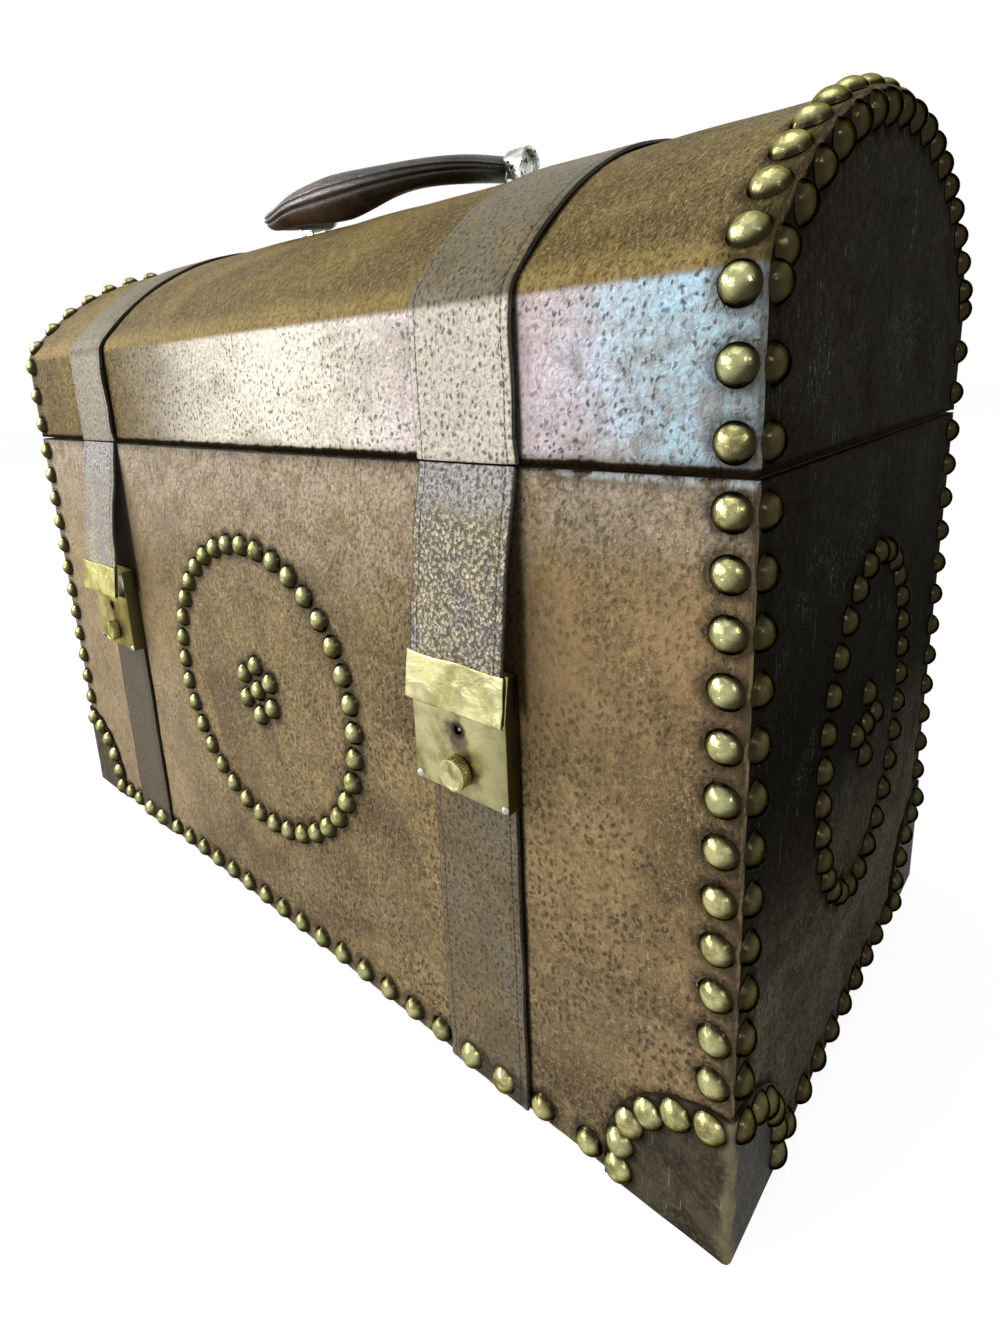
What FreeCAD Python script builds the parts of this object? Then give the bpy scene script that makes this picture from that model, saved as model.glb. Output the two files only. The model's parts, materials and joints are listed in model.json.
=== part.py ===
import FreeCAD, Part
import math
import os
import re
import Sketcher
from FreeCAD import Placement, Rotation, Vector

# Studded leather trunk with a domed lid, two strapped locks and a carrying handle.
# The origin is the middle of the underside. +X runs to the right along the length, +Y to the back, +Z up.

# Driving dimensions, in millimetres and degrees
SIZES = [
    ("trunk_length", 477.0, "leather to leather, end to end"),
    ("trunk_depth", 238.0, "leather to leather, front to back"),
    ("base_height", 250.0, "underside to the middle of the seam"),
    ("seam_gap", 0.8, "space between the rims of the base and the lid"),
    ("lid_wall_height", 52.0, "straight part of the lid's front and back"),
    ("dome_rise", 56.0, "height of the dome over its walls"),
    ("dome_break_radius", 10.0, "rounding where the dome meets the wall"),
    ("board_thickness", 7.0, "wooden boards of the carcase"),
    ("dome_board_thickness", 5.0, "bent board under the dome"),
    ("leather_thickness", 1.8, "outer hide"),
    ("lining_thickness", 1.0, "cloth lining"),
    ("lining_drop", 3.0, "lining edge to the rim"),
    ("rim_round", 1.2, "rounded leather edge at the seam"),
    ("corner_round", 1.5, "rounded upright leather edge"),
    ("stud_diameter", 11.0, "domed nail head"),
    ("stud_rise", 3.8, "height of the nail head"),
    ("nail_diameter", 1.6, "shank of a stud or rivet"),
    ("nail_depth_share", 0.5, "share of the board that a shank enters"),
    ("stud_pitch", 16.5, "wished distance of studs in the rows"),
    ("ring_pitch", 12.95, "wished distance of studs in circle, oval and patches"),
    ("stud_edge_distance", 6.4, "stud centre to an upright or curved edge"),
    ("rim_stud_distance", 8.2, "stud centre to the seam"),
    ("break_stud_distance", 6.8, "stud centre to the dome's break line"),
    ("bottom_stud_height", 6.8, "bottom row over the underside"),
    ("stud_spare", 0.75, "least space between a stud and a strap edge"),
    ("circle_radius", 73.3, "front circle of studs"),
    ("circle_shift", 2.0, "front circle to the left of the middle"),
    ("circle_height_share", 0.527, "centre of the circle and its flower, of the base's height"),
    ("flower_radius", 13.0, "petals of the front flower"),
    ("oval_half_width", 51.5, "oval of studs on the ends"),
    ("oval_half_height", 69.0, "oval of studs on the ends"),
    ("oval_height_share", 0.552, "centre of the oval and its cross, of the base's height"),
    ("cross_arm", 13.0, "arms of the cross of studs"),
    ("patch_stud_radius", 38.5, "arc of studs on a corner patch"),
    ("patch_centre_height", 12.0, "centre of that arc over the underside"),
    ("patch_margin", 0.8, "leather beyond the studs of a patch"),
    ("patch_thickness", 1.2, "corner patch"),
    ("strap_place_share", 0.30126, "strap centre to the trunk's middle, of the trunk's length"),
    ("strap_width", 44.0, "strap on the lid"),
    ("strap_thickness", 1.6, "strap on the lid"),
    ("band_width", 41.0, "strap on the base"),
    ("band_thickness", 1.4, "strap on the base"),
    ("band_stud_spacing", 17.0, "two studs of the bottom row on a band"),
    ("flap_width", 42.0, "free end of the strap"),
    ("flap_thickness", 1.4, "free end of the strap"),
    ("flap_tilt", 8.5, "the free end stands off the front by this angle"),
    ("flap_length", 83.0, "bend to the lower end of the hasp"),
    ("flap_clearance", 0.3, "flap to the strap above it"),
    ("hasp_width", 44.0, "brass clip on the strap end"),
    ("hasp_height", 17.5, "brass clip on the strap end"),
    ("hasp_sheet", 0.6, "brass of the clip"),
    ("hasp_slack", 0.05, "clip to strap"),
    ("tongue_thickness", 1.6, "catch plate behind the hasp"),
    ("tongue_reach", 5.0, "catch plate standing off the hasp"),
    ("tongue_height", 7.0, "catch plate"),
    ("tongue_rise", 3.4, "catch plate over the lower end of the hasp"),
    ("tongue_eye_radius", 1.3, "hole for the bolt"),
    ("lock_width", 44.0, "lock case"),
    ("lock_height", 48.5, "lock case"),
    ("lock_depth", 7.4, "lock case"),
    ("lock_drop", 117.6, "lower edge of the right lock under the seam"),
    ("left_lock_lower", 5.6, "the left lock and its strap end reach this much lower"),
    ("lock_shift", 3.5, "locks and front bands to the left of the straps"),
    ("lock_sheet", 0.8, "brass of the lock case"),
    ("lock_recess", 16.0, "open part at the top of the lock"),
    ("knob_diameter", 12.0, "sliding knob"),
    ("knob_rise", 4.4, "thickness of the knob"),
    ("knob_height", 9.5, "knob centre over the lock's lower edge"),
    ("knob_clearance", 0.3, "knob to the lock's face"),
    ("knob_shank_diameter", 4.0, "neck between knob and bolt plate"),
    ("knob_round", 0.8, "rounded rim of the knob"),
    ("slide_travel", 3.2, "way of the knob"),
    ("slide_clearance", 0.2, "bolt plate to its neighbours"),
    ("slide_thickness", 1.2, "bolt plate"),
    ("slide_half_width", 9.0, "bolt plate"),
    ("slide_arm_width", 4.0, "arm of the bolt plate"),
    ("bolt_reach", 1.5, "nose of the bolt past the lock's middle"),
    ("bolt_height", 3.0, "nose of the bolt"),
    ("keyhole_height", 25.0, "keyhole over the lock's lower edge"),
    ("keyhole_diameter", 3.8, "keyhole"),
    ("key_post_diameter", 1.3, "post that the key turns on"),
    ("lock_pin_diameter", 3.2, "heads at the lock's lower corners"),
    ("lock_pin_rise", 1.2, "heads at the lock's lower corners"),
    ("spring_diameter", 4.0, "return spring of the bolt"),
    ("spring_wire", 0.6, "return spring of the bolt"),
    ("hinge_place_share", 0.1782, "hinge centre to the trunk's middle, of the trunk's length"),
    ("hinge_width", 42.0, "hinge leaf"),
    ("hinge_leaf_height", 17.0, "hinge leaf from the pin"),
    ("hinge_leaf_thickness", 1.4, "hinge leaf"),
    ("knuckle_radius", 3.0, "hinge knuckle"),
    ("knuckle_gap", 0.3, "between hinge knuckles"),
    ("hinge_pin_radius", 1.5, "hinge pin"),
    ("running_clearance", 0.05, "radial play of a pin"),
    ("hinge_seat_clearance", 0.2, "knuckle to leather"),
    ("screw_head_diameter", 4.2, "hinge screws"),
    ("screw_head_rise", 1.0, "hinge screws"),
    ("handle_half_span", 73.3, "inner side of a handle loop to the middle"),
    ("handle_bow", 50.0, "pivot line to the middle of the grip"),
    ("grip_squareness", 3.0, "2 bends the grip to a half ellipse, and more squares its corners"),
    ("pivot_rise", 12.4, "handle pivot over the dome"),
    ("grip_middle_radius", 9.5, "padded middle of the grip"),
    ("grip_end_radius", 6.0, "thin ends of the grip"),
    ("grip_setback", 7.2, "grip end to the loop"),
    ("grip_clearance", 1.2, "lying grip over the dome"),
    ("grip_core_radius", 2.2, "steel rod in the grip"),
    ("end_cap_radius", 5.3, "metal end that turns in the loop"),
    ("end_cap_clearance", 0.1, "metal end in its loop"),
    ("end_cap_recess", 2.5, "metal end inside the loop's outer side"),
    ("loop_width", 10.0, "strip of the handle loop"),
    ("loop_sheet", 1.5, "strip of the handle loop"),
    ("loop_foot_reach", 13.0, "foot of the loop from the pivot line"),
    ("loop_waist", 1.5, "hollow in each side of the loop's legs"),
    ("loop_waist_radius", 6.0, "hollow in each side of the loop's legs"),
    ("plate_inner_end", 41.0, "handle plate to the trunk's middle"),
    ("plate_overhang", 3.5, "handle plate past the loop"),
    ("plate_half_width", 14.0, "handle plate"),
    ("plate_sheet", 1.2, "handle plate"),
    ("rivet_head_diameter", 4.6, "handle rivets"),
    ("rivet_head_rise", 2.2, "handle rivets"),
    ("rivet_inset", 6.0, "inner rivets to the plate's end"),
    ("rivet_half_spacing", 8.0, "inner rivets"),
    ("cut_overrun", 1.0, "how far a cutting body passes the cut face"),
    ("edge_match", 0.0001, "edges closer than this to a plane lie in it"),
]
STATIONS_ON_HALF_GRIP = 8
PETALS = 6

doc = FreeCAD.newDocument("StuddedTrunk")
sheet = doc.addObject("Spreadsheet::Sheet", "Sizes")
for row, (alias, value, meaning) in enumerate(SIZES, start=1):
    sheet.set("A%d" % row, meaning)
    sheet.set("B%d" % row, str(value))
    sheet.setAlias("B%d" % row, alias)
doc.recompute()
size = {alias: float(sheet.get(alias)) for alias, _, _ in SIZES}
parts = []


# Helpers that bind shapes to the sheet
def bound(text):
    """Puts the sheet's name before each alias in an expression."""
    return re.sub(r"[a-z][a-z_]+", lambda word: "Sizes." + word[0] if word[0] in size else word[0], str(text))


def bind(thing, prop, text):
    thing.setExpression(prop, bound(text))


def put_at(thing, x, y, z):
    for axis, text in (("x", x), ("y", y), ("z", z)):
        bind(thing, "Placement.Base." + axis, text)


def add(kind, label):
    thing = doc.addObject(kind, label)
    thing.Label = label
    return thing


def box(label, x, y, z):
    """A box between pairs of expressions."""
    thing = add("Part::Box", label)
    for prop, (low, high) in (("Length", x), ("Width", y), ("Height", z)):
        bind(thing, prop, "(%s) - (%s)" % (high, low))
    put_at(thing, x[0], y[0], z[0])
    return thing


def cylinder(label, radius, length, start, direction):
    """A round bar from a start point, given as expressions, along a direction."""
    thing = add("Part::Cylinder", label)
    bind(thing, "Radius", radius)
    bind(thing, "Height", length)
    thing.Placement = Placement(Vector(), Rotation(Vector(0, 0, 1), Vector(*direction)))
    put_at(thing, *start)
    return thing


def cut(label, base, tool):
    thing = add("Part::Cut", label)
    thing.Base, thing.Tool = base, tool
    return thing


def joined(label, *pieces):
    thing = add("Part::MultiFuse", label)
    thing.Shapes = list(pieces)
    return thing


def shared(label, *pieces):
    thing = add("Part::MultiCommon", label)
    thing.Shapes = list(pieces)
    return thing


def group(label, *solids):
    """Separate solids that share one node."""
    thing = add("Part::Compound", label)
    thing.Links = list(solids)
    return thing


def rounded(label, base, radius, wanted):
    """Rounds the edges of a body that the test picks."""
    doc.recompute()
    thing = add("Part::Fillet", label)
    thing.Base = base
    numbers = [n for n, edge in enumerate(base.Shape.Edges, start=1) if wanted(edge.BoundBox)]
    thing.Edges = [(n, radius, radius) for n in numbers]
    return thing


def feature(label, shape):
    thing = add("Part::Feature", label)
    thing.Shape = shape
    return thing


def keep(thing):
    parts.append(thing)
    return thing


def body_sketch(body, role, corners):
    """A closed outline of straight lines whose corners are pairs of expressions."""
    sketch = body.newObject("Sketcher::SketchObject", body.Label + "_outline")
    plane = [f for f in body.Origin.OriginFeatures if f.Role == role][0]
    sketch.AttachmentSupport = (plane, [""])
    sketch.MapMode = "FlatFace"
    count = len(corners)
    turn = 2 * math.pi / count
    ring = [Vector(math.cos(i * turn), math.sin(i * turn), 0) for i in range(count)]
    for i in range(count):
        sketch.addGeometry(Part.LineSegment(ring[i], ring[(i + 1) % count]), False)
    for i in range(count):
        sketch.addConstraint(Sketcher.Constraint("Coincident", i, 2, (i + 1) % count, 1))
    for i, (across, up) in enumerate(corners):
        for kind, text, value in (("DistanceX", across, ring[i].x), ("DistanceY", up, ring[i].y)):
            number = sketch.addConstraint(Sketcher.Constraint(kind, i, 1, value))
            bind(sketch, "Constraints[%d]" % number, text)
    doc.recompute()
    return sketch


def padded_body(label, role, corners, length, at):
    """A flat piece: an outline on an origin plane, given its thickness both ways."""
    body = add("PartDesign::Body", label)
    sketch = body_sketch(body, role, corners)
    pad = body.newObject("PartDesign::Pad", label + "_pad")
    pad.Profile = sketch
    pad.Midplane = True
    bind(pad, "Length", length)
    sketch.Visibility = False
    put_at(body, *at)
    return body


def turned_body(label, corners, at, direction):
    """A round piece: an outline turned about the body's own upright axis."""
    body = add("PartDesign::Body", label)
    sketch = body_sketch(body, "XZ_Plane", corners)
    turn = body.newObject("PartDesign::Revolution", label + "_turn")
    turn.Profile = sketch
    turn.ReferenceAxis = (sketch, ["V_Axis"])
    turn.Angle = 360
    body.Placement = Placement(Vector(), Rotation(Vector(0, 0, 1), Vector(*direction)))
    put_at(body, *at)
    return body


# Planes that several pieces share
HALF_X, HALF_Y = "trunk_length / 2", "trunk_depth / 2"
STRAP_OFFSET = "(trunk_length * strap_place_share)"
HINGE_OFFSET = "(trunk_length * hinge_place_share)"
LOCK_BOTTOM = {"left": "base_height - lock_drop - left_lock_lower", "right": "base_height - lock_drop"}
BASE_TOP = "base_height - seam_gap / 2"
LID_BOTTOM = "base_height + seam_gap / 2"
WALL_TOP = "base_height + lid_wall_height"
DOME_TOP = WALL_TOP + " + dome_rise"
DOME_RADIUS = "((trunk_depth / 2) ^ 2 + dome_rise ^ 2) / (2 * dome_rise)"
DOME_CENTRE = "%s - %s" % (DOME_TOP, DOME_RADIUS)
SKIN_X = HALF_X + " - leather_thickness"
SKIN_Y = HALF_Y + " - leather_thickness"
FLOOR_TOP = "leather_thickness + board_thickness"
half_x, half_y = size["trunk_length"] / 2, size["trunk_depth"] / 2
strap_offset = size["trunk_length"] * size["strap_place_share"]
lower_by = {"left": size["left_lock_lower"], "right": 0}
wall_top = size["base_height"] + size["lid_wall_height"]
dome_top = wall_top + size["dome_rise"]
dome_radius = (half_y ** 2 + size["dome_rise"] ** 2) / (2 * size["dome_rise"])
dome_centre = dome_top - dome_radius
base_top = size["base_height"] - size["seam_gap"] / 2
lid_bottom = size["base_height"] + size["seam_gap"] / 2
WALL_NAIL = size["leather_thickness"] + size["board_thickness"] * size["nail_depth_share"]
DOME_NAIL = size["leather_thickness"] + size["dome_board_thickness"] * size["nail_depth_share"]


def along_x(bounds):
    return bounds.YLength < size["edge_match"] and bounds.ZLength < size["edge_match"]


# Base: five boards, five pieces of leather and a lining
def base_boards():
    inner_x = "%s - board_thickness" % SKIN_X
    inner_y = "%s - board_thickness" % SKIN_Y
    upright = ("leather_thickness", BASE_TOP)
    keep(box("base_front_board", ("-(%s)" % SKIN_X, SKIN_X), ("-(%s)" % SKIN_Y, "-(%s)" % inner_y), upright))
    keep(box("base_back_board", ("-(%s)" % SKIN_X, SKIN_X), (inner_y, SKIN_Y), upright))
    keep(box("base_left_board", ("-(%s)" % SKIN_X, "-(%s)" % inner_x), ("-(%s)" % inner_y, inner_y), upright))
    keep(box("base_right_board", (inner_x, SKIN_X), ("-(%s)" % inner_y, inner_y), upright))
    keep(box("base_bottom_board", ("-(%s)" % inner_x, inner_x), ("-(%s)" % inner_y, inner_y),
             ("leather_thickness", FLOOR_TOP)))


def base_leather():
    for name, low, high in (("front", "-(%s)" % HALF_Y, "-(%s)" % SKIN_Y), ("back", SKIN_Y, HALF_Y)):
        sheet_box = box("base_%s_sheet" % name, ("-(%s)" % HALF_X, HALF_X), (low, high), ("0", BASE_TOP))
        outside = half_y if name == "back" else -half_y

        def outer_corner(bounds, outside=outside):
            upright = bounds.XLength < size["edge_match"] and bounds.YLength < size["edge_match"]
            return upright and abs(bounds.YMin - outside) < size["edge_match"]

        def outer_rim(bounds, outside=outside):
            at_top = bounds.ZMin > base_top - size["edge_match"]
            return along_x(bounds) and at_top and abs(bounds.YMin - outside) < size["edge_match"]

        soft = rounded("base_%s_corners" % name, sheet_box, size["corner_round"], outer_corner)
        keep(rounded("base_%s_leather" % name, soft, size["rim_round"], outer_rim))
    for name, low, high in (("left", "-(%s)" % HALF_X, "-(%s)" % SKIN_X), ("right", SKIN_X, HALF_X)):
        keep(box("base_%s_leather" % name, (low, high), ("-(%s)" % SKIN_Y, SKIN_Y), ("0", BASE_TOP)))
    keep(box("base_bottom_leather", ("-(%s)" % SKIN_X, SKIN_X), ("-(%s)" % SKIN_Y, SKIN_Y),
             ("0", "leather_thickness")))


def base_lining():
    spans = []
    for inset in ("board_thickness", "board_thickness + lining_thickness"):
        spans.append((("-(%s - (%s))" % (SKIN_X, inset), "%s - (%s)" % (SKIN_X, inset)),
                      ("-(%s - (%s))" % (SKIN_Y, inset), "%s - (%s)" % (SKIN_Y, inset))))
    outer = box("base_lining_block", *spans[0], (FLOOR_TOP, BASE_TOP + " - lining_drop"))
    hollow = box("base_lining_hollow", *spans[1],
                 (FLOOR_TOP + " + lining_thickness", BASE_TOP + " + cut_overrun"))
    keep(cut("base_lining", outer, hollow))


# Lid: every layer is a block under the dome, less the block inside it
def lid_block(label, wall_inset, dome_inset, end_inset, bottom=LID_BOTTOM):
    half_length = "%s - (%s)" % (HALF_X, end_inset)
    half_width = "%s - (%s)" % (HALF_Y, wall_inset)
    straight = box(label + "_box", ("-(%s)" % half_length, half_length), ("-(%s)" % half_width, half_width),
                   (bottom, "%s - (%s) + cut_overrun" % (DOME_TOP, dome_inset)))
    round_bar = cylinder(label + "_bar", "%s - (%s)" % (DOME_RADIUS, dome_inset),
                         "2 * (%s) + 2 * cut_overrun" % half_length,
                         ("-(%s) - cut_overrun" % half_length, "0", DOME_CENTRE), (1, 0, 0))
    return shared(label, straight, round_bar)


def soft_block(label, wall_inset, dome_inset, end_inset, bottom=LID_BOTTOM):
    """A lid block with its two break lines rounded."""
    block = lid_block(label + "_sharp", wall_inset, dome_inset, end_inset, bottom)
    return rounded(label, block, size["dome_break_radius"],
                   lambda bounds: along_x(bounds) and bounds.ZMin > lid_bottom + size["rim_round"])


def lid_boards():
    deep = "leather_thickness + board_thickness"
    under = "leather_thickness + dome_board_thickness"
    shell = lid_block("dome_board_block", "leather_thickness", "leather_thickness", "leather_thickness")
    below = lid_block("dome_board_below", "leather_thickness - cut_overrun", under,
                      "leather_thickness - cut_overrun", LID_BOTTOM + " - cut_overrun")
    keep(cut("dome_board", shell, below))
    inner_y = "%s - board_thickness" % SKIN_Y
    for name, low, high in (("front", "-(%s)" % SKIN_Y, "-(%s)" % inner_y), ("back", inner_y, SKIN_Y)):
        room = lid_block("lid_%s_room" % name, "leather_thickness", under, "leather_thickness")
        slab = box("lid_%s_slab" % name, ("-(%s)" % HALF_X, HALF_X), (low, high), (LID_BOTTOM, DOME_TOP))
        keep(shared("lid_%s_board" % name, room, slab))
    inner_x = "%s - board_thickness" % SKIN_X
    for name, low, high in (("left", "-(%s)" % SKIN_X, "-(%s)" % inner_x), ("right", inner_x, SKIN_X)):
        room = lid_block("lid_%s_room" % name, deep, under, "leather_thickness")
        slab = box("lid_%s_slab" % name, (low, high), ("-(%s)" % HALF_Y, HALF_Y), (LID_BOTTOM, DOME_TOP))
        keep(shared("lid_%s_board" % name, room, slab))


def lid_leather():
    outside = soft_block("lid_outside", "0", "0", "0")
    rim = rounded("lid_outside_rim", outside, size["rim_round"],
                  lambda bounds: along_x(bounds) and bounds.ZMax < lid_bottom + size["edge_match"])
    inside = lid_block("lid_inside", "leather_thickness", "leather_thickness", "-cut_overrun",
                       LID_BOTTOM + " - cut_overrun")
    keep(cut("lid_leather", rim, inside))
    for name, low, high in (("left", "-(%s)" % HALF_X, "-(%s)" % SKIN_X), ("right", SKIN_X, HALF_X)):
        room = lid_block("lid_%s_face" % name, "leather_thickness", "leather_thickness", "0")
        slab = box("lid_%s_sheet" % name, (low, high), ("-(%s)" % HALF_Y, HALF_Y), (LID_BOTTOM, DOME_TOP))
        keep(shared("lid_%s_leather" % name, room, slab))


def lid_lining():
    layers = []
    for name, extra in (("block", "0"), ("hollow", "lining_thickness")):
        wall = "leather_thickness + board_thickness + %s" % extra
        dome = "leather_thickness + dome_board_thickness + %s" % extra
        bottom = LID_BOTTOM + (" + lining_drop" if name == "block" else "")
        layers.append(lid_block("lid_lining_" + name, wall, dome, wall, bottom))
    keep(cut("lid_lining", *layers))


# Straps: two over the lid, with bands below them on the front and the back of the base
def lid_straps():
    for side, sign in (("left", "-"), ("right", "")):
        low = "%s%s - strap_width / 2" % (sign, STRAP_OFFSET)
        high = "%s%s + strap_width / 2" % (sign, STRAP_OFFSET)
        over = soft_block("%s_strap_block" % side, "-strap_thickness", "-strap_thickness", "0")
        under = soft_block("%s_strap_under" % side, "0", "0", "-cut_overrun", LID_BOTTOM + " - cut_overrun")
        arch = cut("%s_strap_arch" % side, over, under)
        slab = box("%s_strap_slab" % side, (low, high), ("-trunk_depth", "trunk_depth"),
                   (LID_BOTTOM, "2 * (%s)" % DOME_TOP))
        keep(shared("%s_lid_strap" % side, arch, slab))


def base_bands():
    for face in ("front", "back"):
        bands = []
        for side, sign in (("left", "-"), ("right", "")):
            middle = sign + STRAP_OFFSET
            top = BASE_TOP
            if face == "front":
                middle = sign + STRAP_OFFSET + " - lock_shift"
                top = LOCK_BOTTOM[side]
                y = ("-(%s) - band_thickness" % HALF_Y, "-(%s)" % HALF_Y)
            else:
                y = (HALF_Y, "%s + band_thickness" % HALF_Y)
            x = ("%s - band_width / 2" % middle, "%s + band_width / 2" % middle)
            bands.append(box("%s_%s_band" % (side, face), x, y, ("0", top)))
        keep(group("base_%s_straps" % face, *bands))


# Corner patches: a rounded leather shape wrapped round each lower corner
def corner_patches():
    reach = size["patch_stud_radius"] + size["stud_diameter"] / 2 + size["patch_margin"]
    rise = size["patch_centre_height"]
    thick = size["patch_thickness"]

    def leaf():
        """One leaf of the patch, standing on X from the corner inwards, its wrap over the corner included."""
        start = Vector(thick, 0, 0)
        points = [start, Vector(thick, 0, rise + reach), Vector(0, 0, rise + reach)]
        lines = [Part.makeLine(points[0], points[1]), Part.makeLine(points[1], points[2])]
        middle = Vector(-reach * math.cos(math.pi / 4), 0, rise + reach * math.sin(math.pi / 4))
        lines.append(Part.Arc(points[2], middle, Vector(-reach, 0, rise)).toShape())
        lines.append(Part.makeLine(Vector(-reach, 0, rise), Vector(-reach, 0, 0)))
        lines.append(Part.makeLine(Vector(-reach, 0, 0), start))
        return Part.Face(Part.Wire(lines)).extrude(Vector(0, -thick, 0))

    front = leaf()
    front.translate(Vector(half_x, -half_y, 0))
    end = leaf()
    end.rotate(Vector(), Vector(0, 0, 1), -90)
    end = end.mirror(Vector(), Vector(1, 0, 0))
    end.translate(Vector(half_x, -half_y, 0))
    corner = front.fuse(end).removeSplitter()
    corners = [corner, corner.mirror(Vector(), Vector(1, 0, 0))]
    corners += [shape.mirror(Vector(), Vector(0, 1, 0)) for shape in corners]
    keep(feature("corner_patches", Part.makeCompound(corners)))


# Studs: a domed head on a thin shank, set square to its surface
def nail(head_diameter, head_rise, shank_length):
    radius = (head_diameter ** 2 / 4 + head_rise ** 2) / (2 * head_rise)
    low_angle = math.degrees(math.asin((radius - head_rise) / radius))
    head = Part.makeSphere(radius, Vector(0, 0, head_rise - radius), Vector(0, 0, 1), low_angle, 90, 360)
    shank = Part.makeCylinder(size["nail_diameter"] / 2, shank_length, Vector(), Vector(0, 0, -1))
    return head.fuse(shank)


def set_nails(shape, seats):
    """Copies of one nail at seats, each a point and the direction that its head faces."""
    copies = []
    for point, facing in seats:
        copy = shape.copy()
        copy.Placement = Placement(Vector(*point), Rotation(Vector(0, 0, 1), Vector(*facing)))
        copies.append(copy)
    return copies


def nails(label, shape, seats):
    keep(feature(label, Part.makeCompound(set_nails(shape, seats))))


def spread(low, high, pitch):
    """Even places from low to high, as near the wished pitch as they come."""
    gaps = max(1, round((high - low) / pitch))
    return [low + (high - low) * i / gaps for i in range(gaps + 1)]


def patch_angles():
    edge_angle = math.acos(size["stud_edge_distance"] / size["patch_stud_radius"])
    next_row = size["bottom_stud_height"] + size["stud_diameter"] + size["stud_spare"]
    last_angle = math.asin((next_row - size["patch_centre_height"]) / size["patch_stud_radius"])
    return spread(last_angle, edge_angle, size["ring_pitch"] / size["patch_stud_radius"])


def wall_studs(half_span, bands):
    """Places (across, up, lift) on one wall: columns, corner patches and the bottom row."""
    radius, rise, lift = size["patch_stud_radius"], size["patch_centre_height"], size["patch_thickness"]
    row, edge = size["bottom_stud_height"], size["stud_edge_distance"]
    places = []
    column_low = rise + radius * math.sin(patch_angles()[-1])
    for up in spread(column_low, base_top - size["rim_stud_distance"], size["stud_pitch"])[1:]:
        places.append((half_span - edge, up, 0))
    for angle in patch_angles():
        places.append((half_span - radius * math.cos(angle), rise + radius * math.sin(angle), lift))
    places.append((half_span - radius, row, lift))
    places += [(-across, up, seat) for across, up, seat in places]
    first = radius + size["stud_diameter"] + size["patch_margin"] + size["stud_spare"]
    stop = (size["band_width"] + size["stud_diameter"]) / 2 + size["stud_spare"]
    low = first - half_span
    for centre in bands:
        places += [(across, row, 0) for across in spread(low, centre - stop, size["stud_pitch"])]
        for hand in (-1, 1):
            places.append((centre + hand * size["band_stud_spacing"] / 2, row, size["band_thickness"]))
        low = centre + stop
    places += [(across, row, 0) for across in spread(low, half_span - first, size["stud_pitch"])]
    return places


def base_studs():
    stud = nail(size["stud_diameter"], size["stud_rise"], WALL_NAIL)
    shift = size["lock_shift"]
    front = wall_studs(half_x, [-strap_offset - shift, strap_offset - shift])
    back = wall_studs(half_x, [-strap_offset, strap_offset])
    circle = []
    count = round(2 * math.pi * size["circle_radius"] / size["ring_pitch"])
    for i in range(count):
        angle = 2 * math.pi * i / count
        circle.append((size["circle_radius"] * math.cos(angle), size["circle_radius"] * math.sin(angle)))
    circle.append((0, 0))
    for i in range(PETALS):
        angle = math.pi * (2 * i + 1) / PETALS
        circle.append((size["flower_radius"] * math.cos(angle), size["flower_radius"] * math.sin(angle)))
    circle_height = size["base_height"] * size["circle_height_share"]
    front += [(across - size["circle_shift"], circle_height + up, 0) for across, up in circle]
    nails("base_front_studs", stud, [((x, -half_y - lift, z), (0, -1, 0)) for x, z, lift in front])
    nails("base_back_studs", stud, [((x, half_y + lift, z), (0, 1, 0)) for x, z, lift in back])
    ends = wall_studs(half_y, [])
    height = size["base_height"] * size["oval_height_share"]
    major, minor = size["oval_half_height"], size["oval_half_width"]
    oval = Part.Ellipse(Vector(), major, minor).toShape()
    count = round(oval.Length / size["ring_pitch"])
    ends += [(point.y, height + point.x, 0) for point in oval.discretize(Number=count + 1)[:-1]]
    arm = size["cross_arm"]
    ends += [(across, height + up, 0) for across, up in ((0, 0), (arm, 0), (-arm, 0), (0, arm), (0, -arm))]
    nails("base_left_studs", stud, [((-half_x - lift, y, z), (-1, 0, 0)) for y, z, lift in ends])
    nails("base_right_studs", stud, [((half_x + lift, y, z), (1, 0, 0)) for y, z, lift in ends])


def lid_studs():
    wall_nail = nail(size["stud_diameter"], size["stud_rise"], WALL_NAIL)
    dome_nail = nail(size["stud_diameter"], size["stud_rise"], DOME_NAIL)
    edge = size["stud_edge_distance"]
    heights = spread(lid_bottom + size["rim_stud_distance"], wall_top - size["break_stud_distance"],
                     size["stud_pitch"])
    half_angle = math.asin(half_y / dome_radius)
    margin = size["break_stud_distance"] / dome_radius
    angles = spread(margin - half_angle, half_angle - margin, size["stud_pitch"] / dome_radius)
    seats, faces = [], []
    for z in heights:
        for facing in (-1, 1):
            seats.append(((0, facing * half_y, z), (0, facing, 0)))
            faces.append((facing * (half_y - edge), z))
    arch = []
    for angle in angles:
        out = (0, math.sin(angle), math.cos(angle))
        arch.append(((0, dome_radius * out[1], dome_centre + dome_radius * out[2]), out))
        inset = dome_radius - edge
        faces.append((inset * out[1], dome_centre + inset * out[2]))
    copies = []
    for x in (edge - half_x, half_x - edge):
        for shape, places in ((wall_nail, seats), (dome_nail, arch)):
            copies += set_nails(shape, [((x, y, z), facing) for (_, y, z), facing in places])
    keep(feature("lid_edge_studs", Part.makeCompound(copies)))
    nails("lid_left_studs", wall_nail, [((-half_x, y, z), (-1, 0, 0)) for y, z in faces])
    nails("lid_right_studs", wall_nail, [((half_x, y, z), (1, 0, 0)) for y, z in faces])


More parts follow.
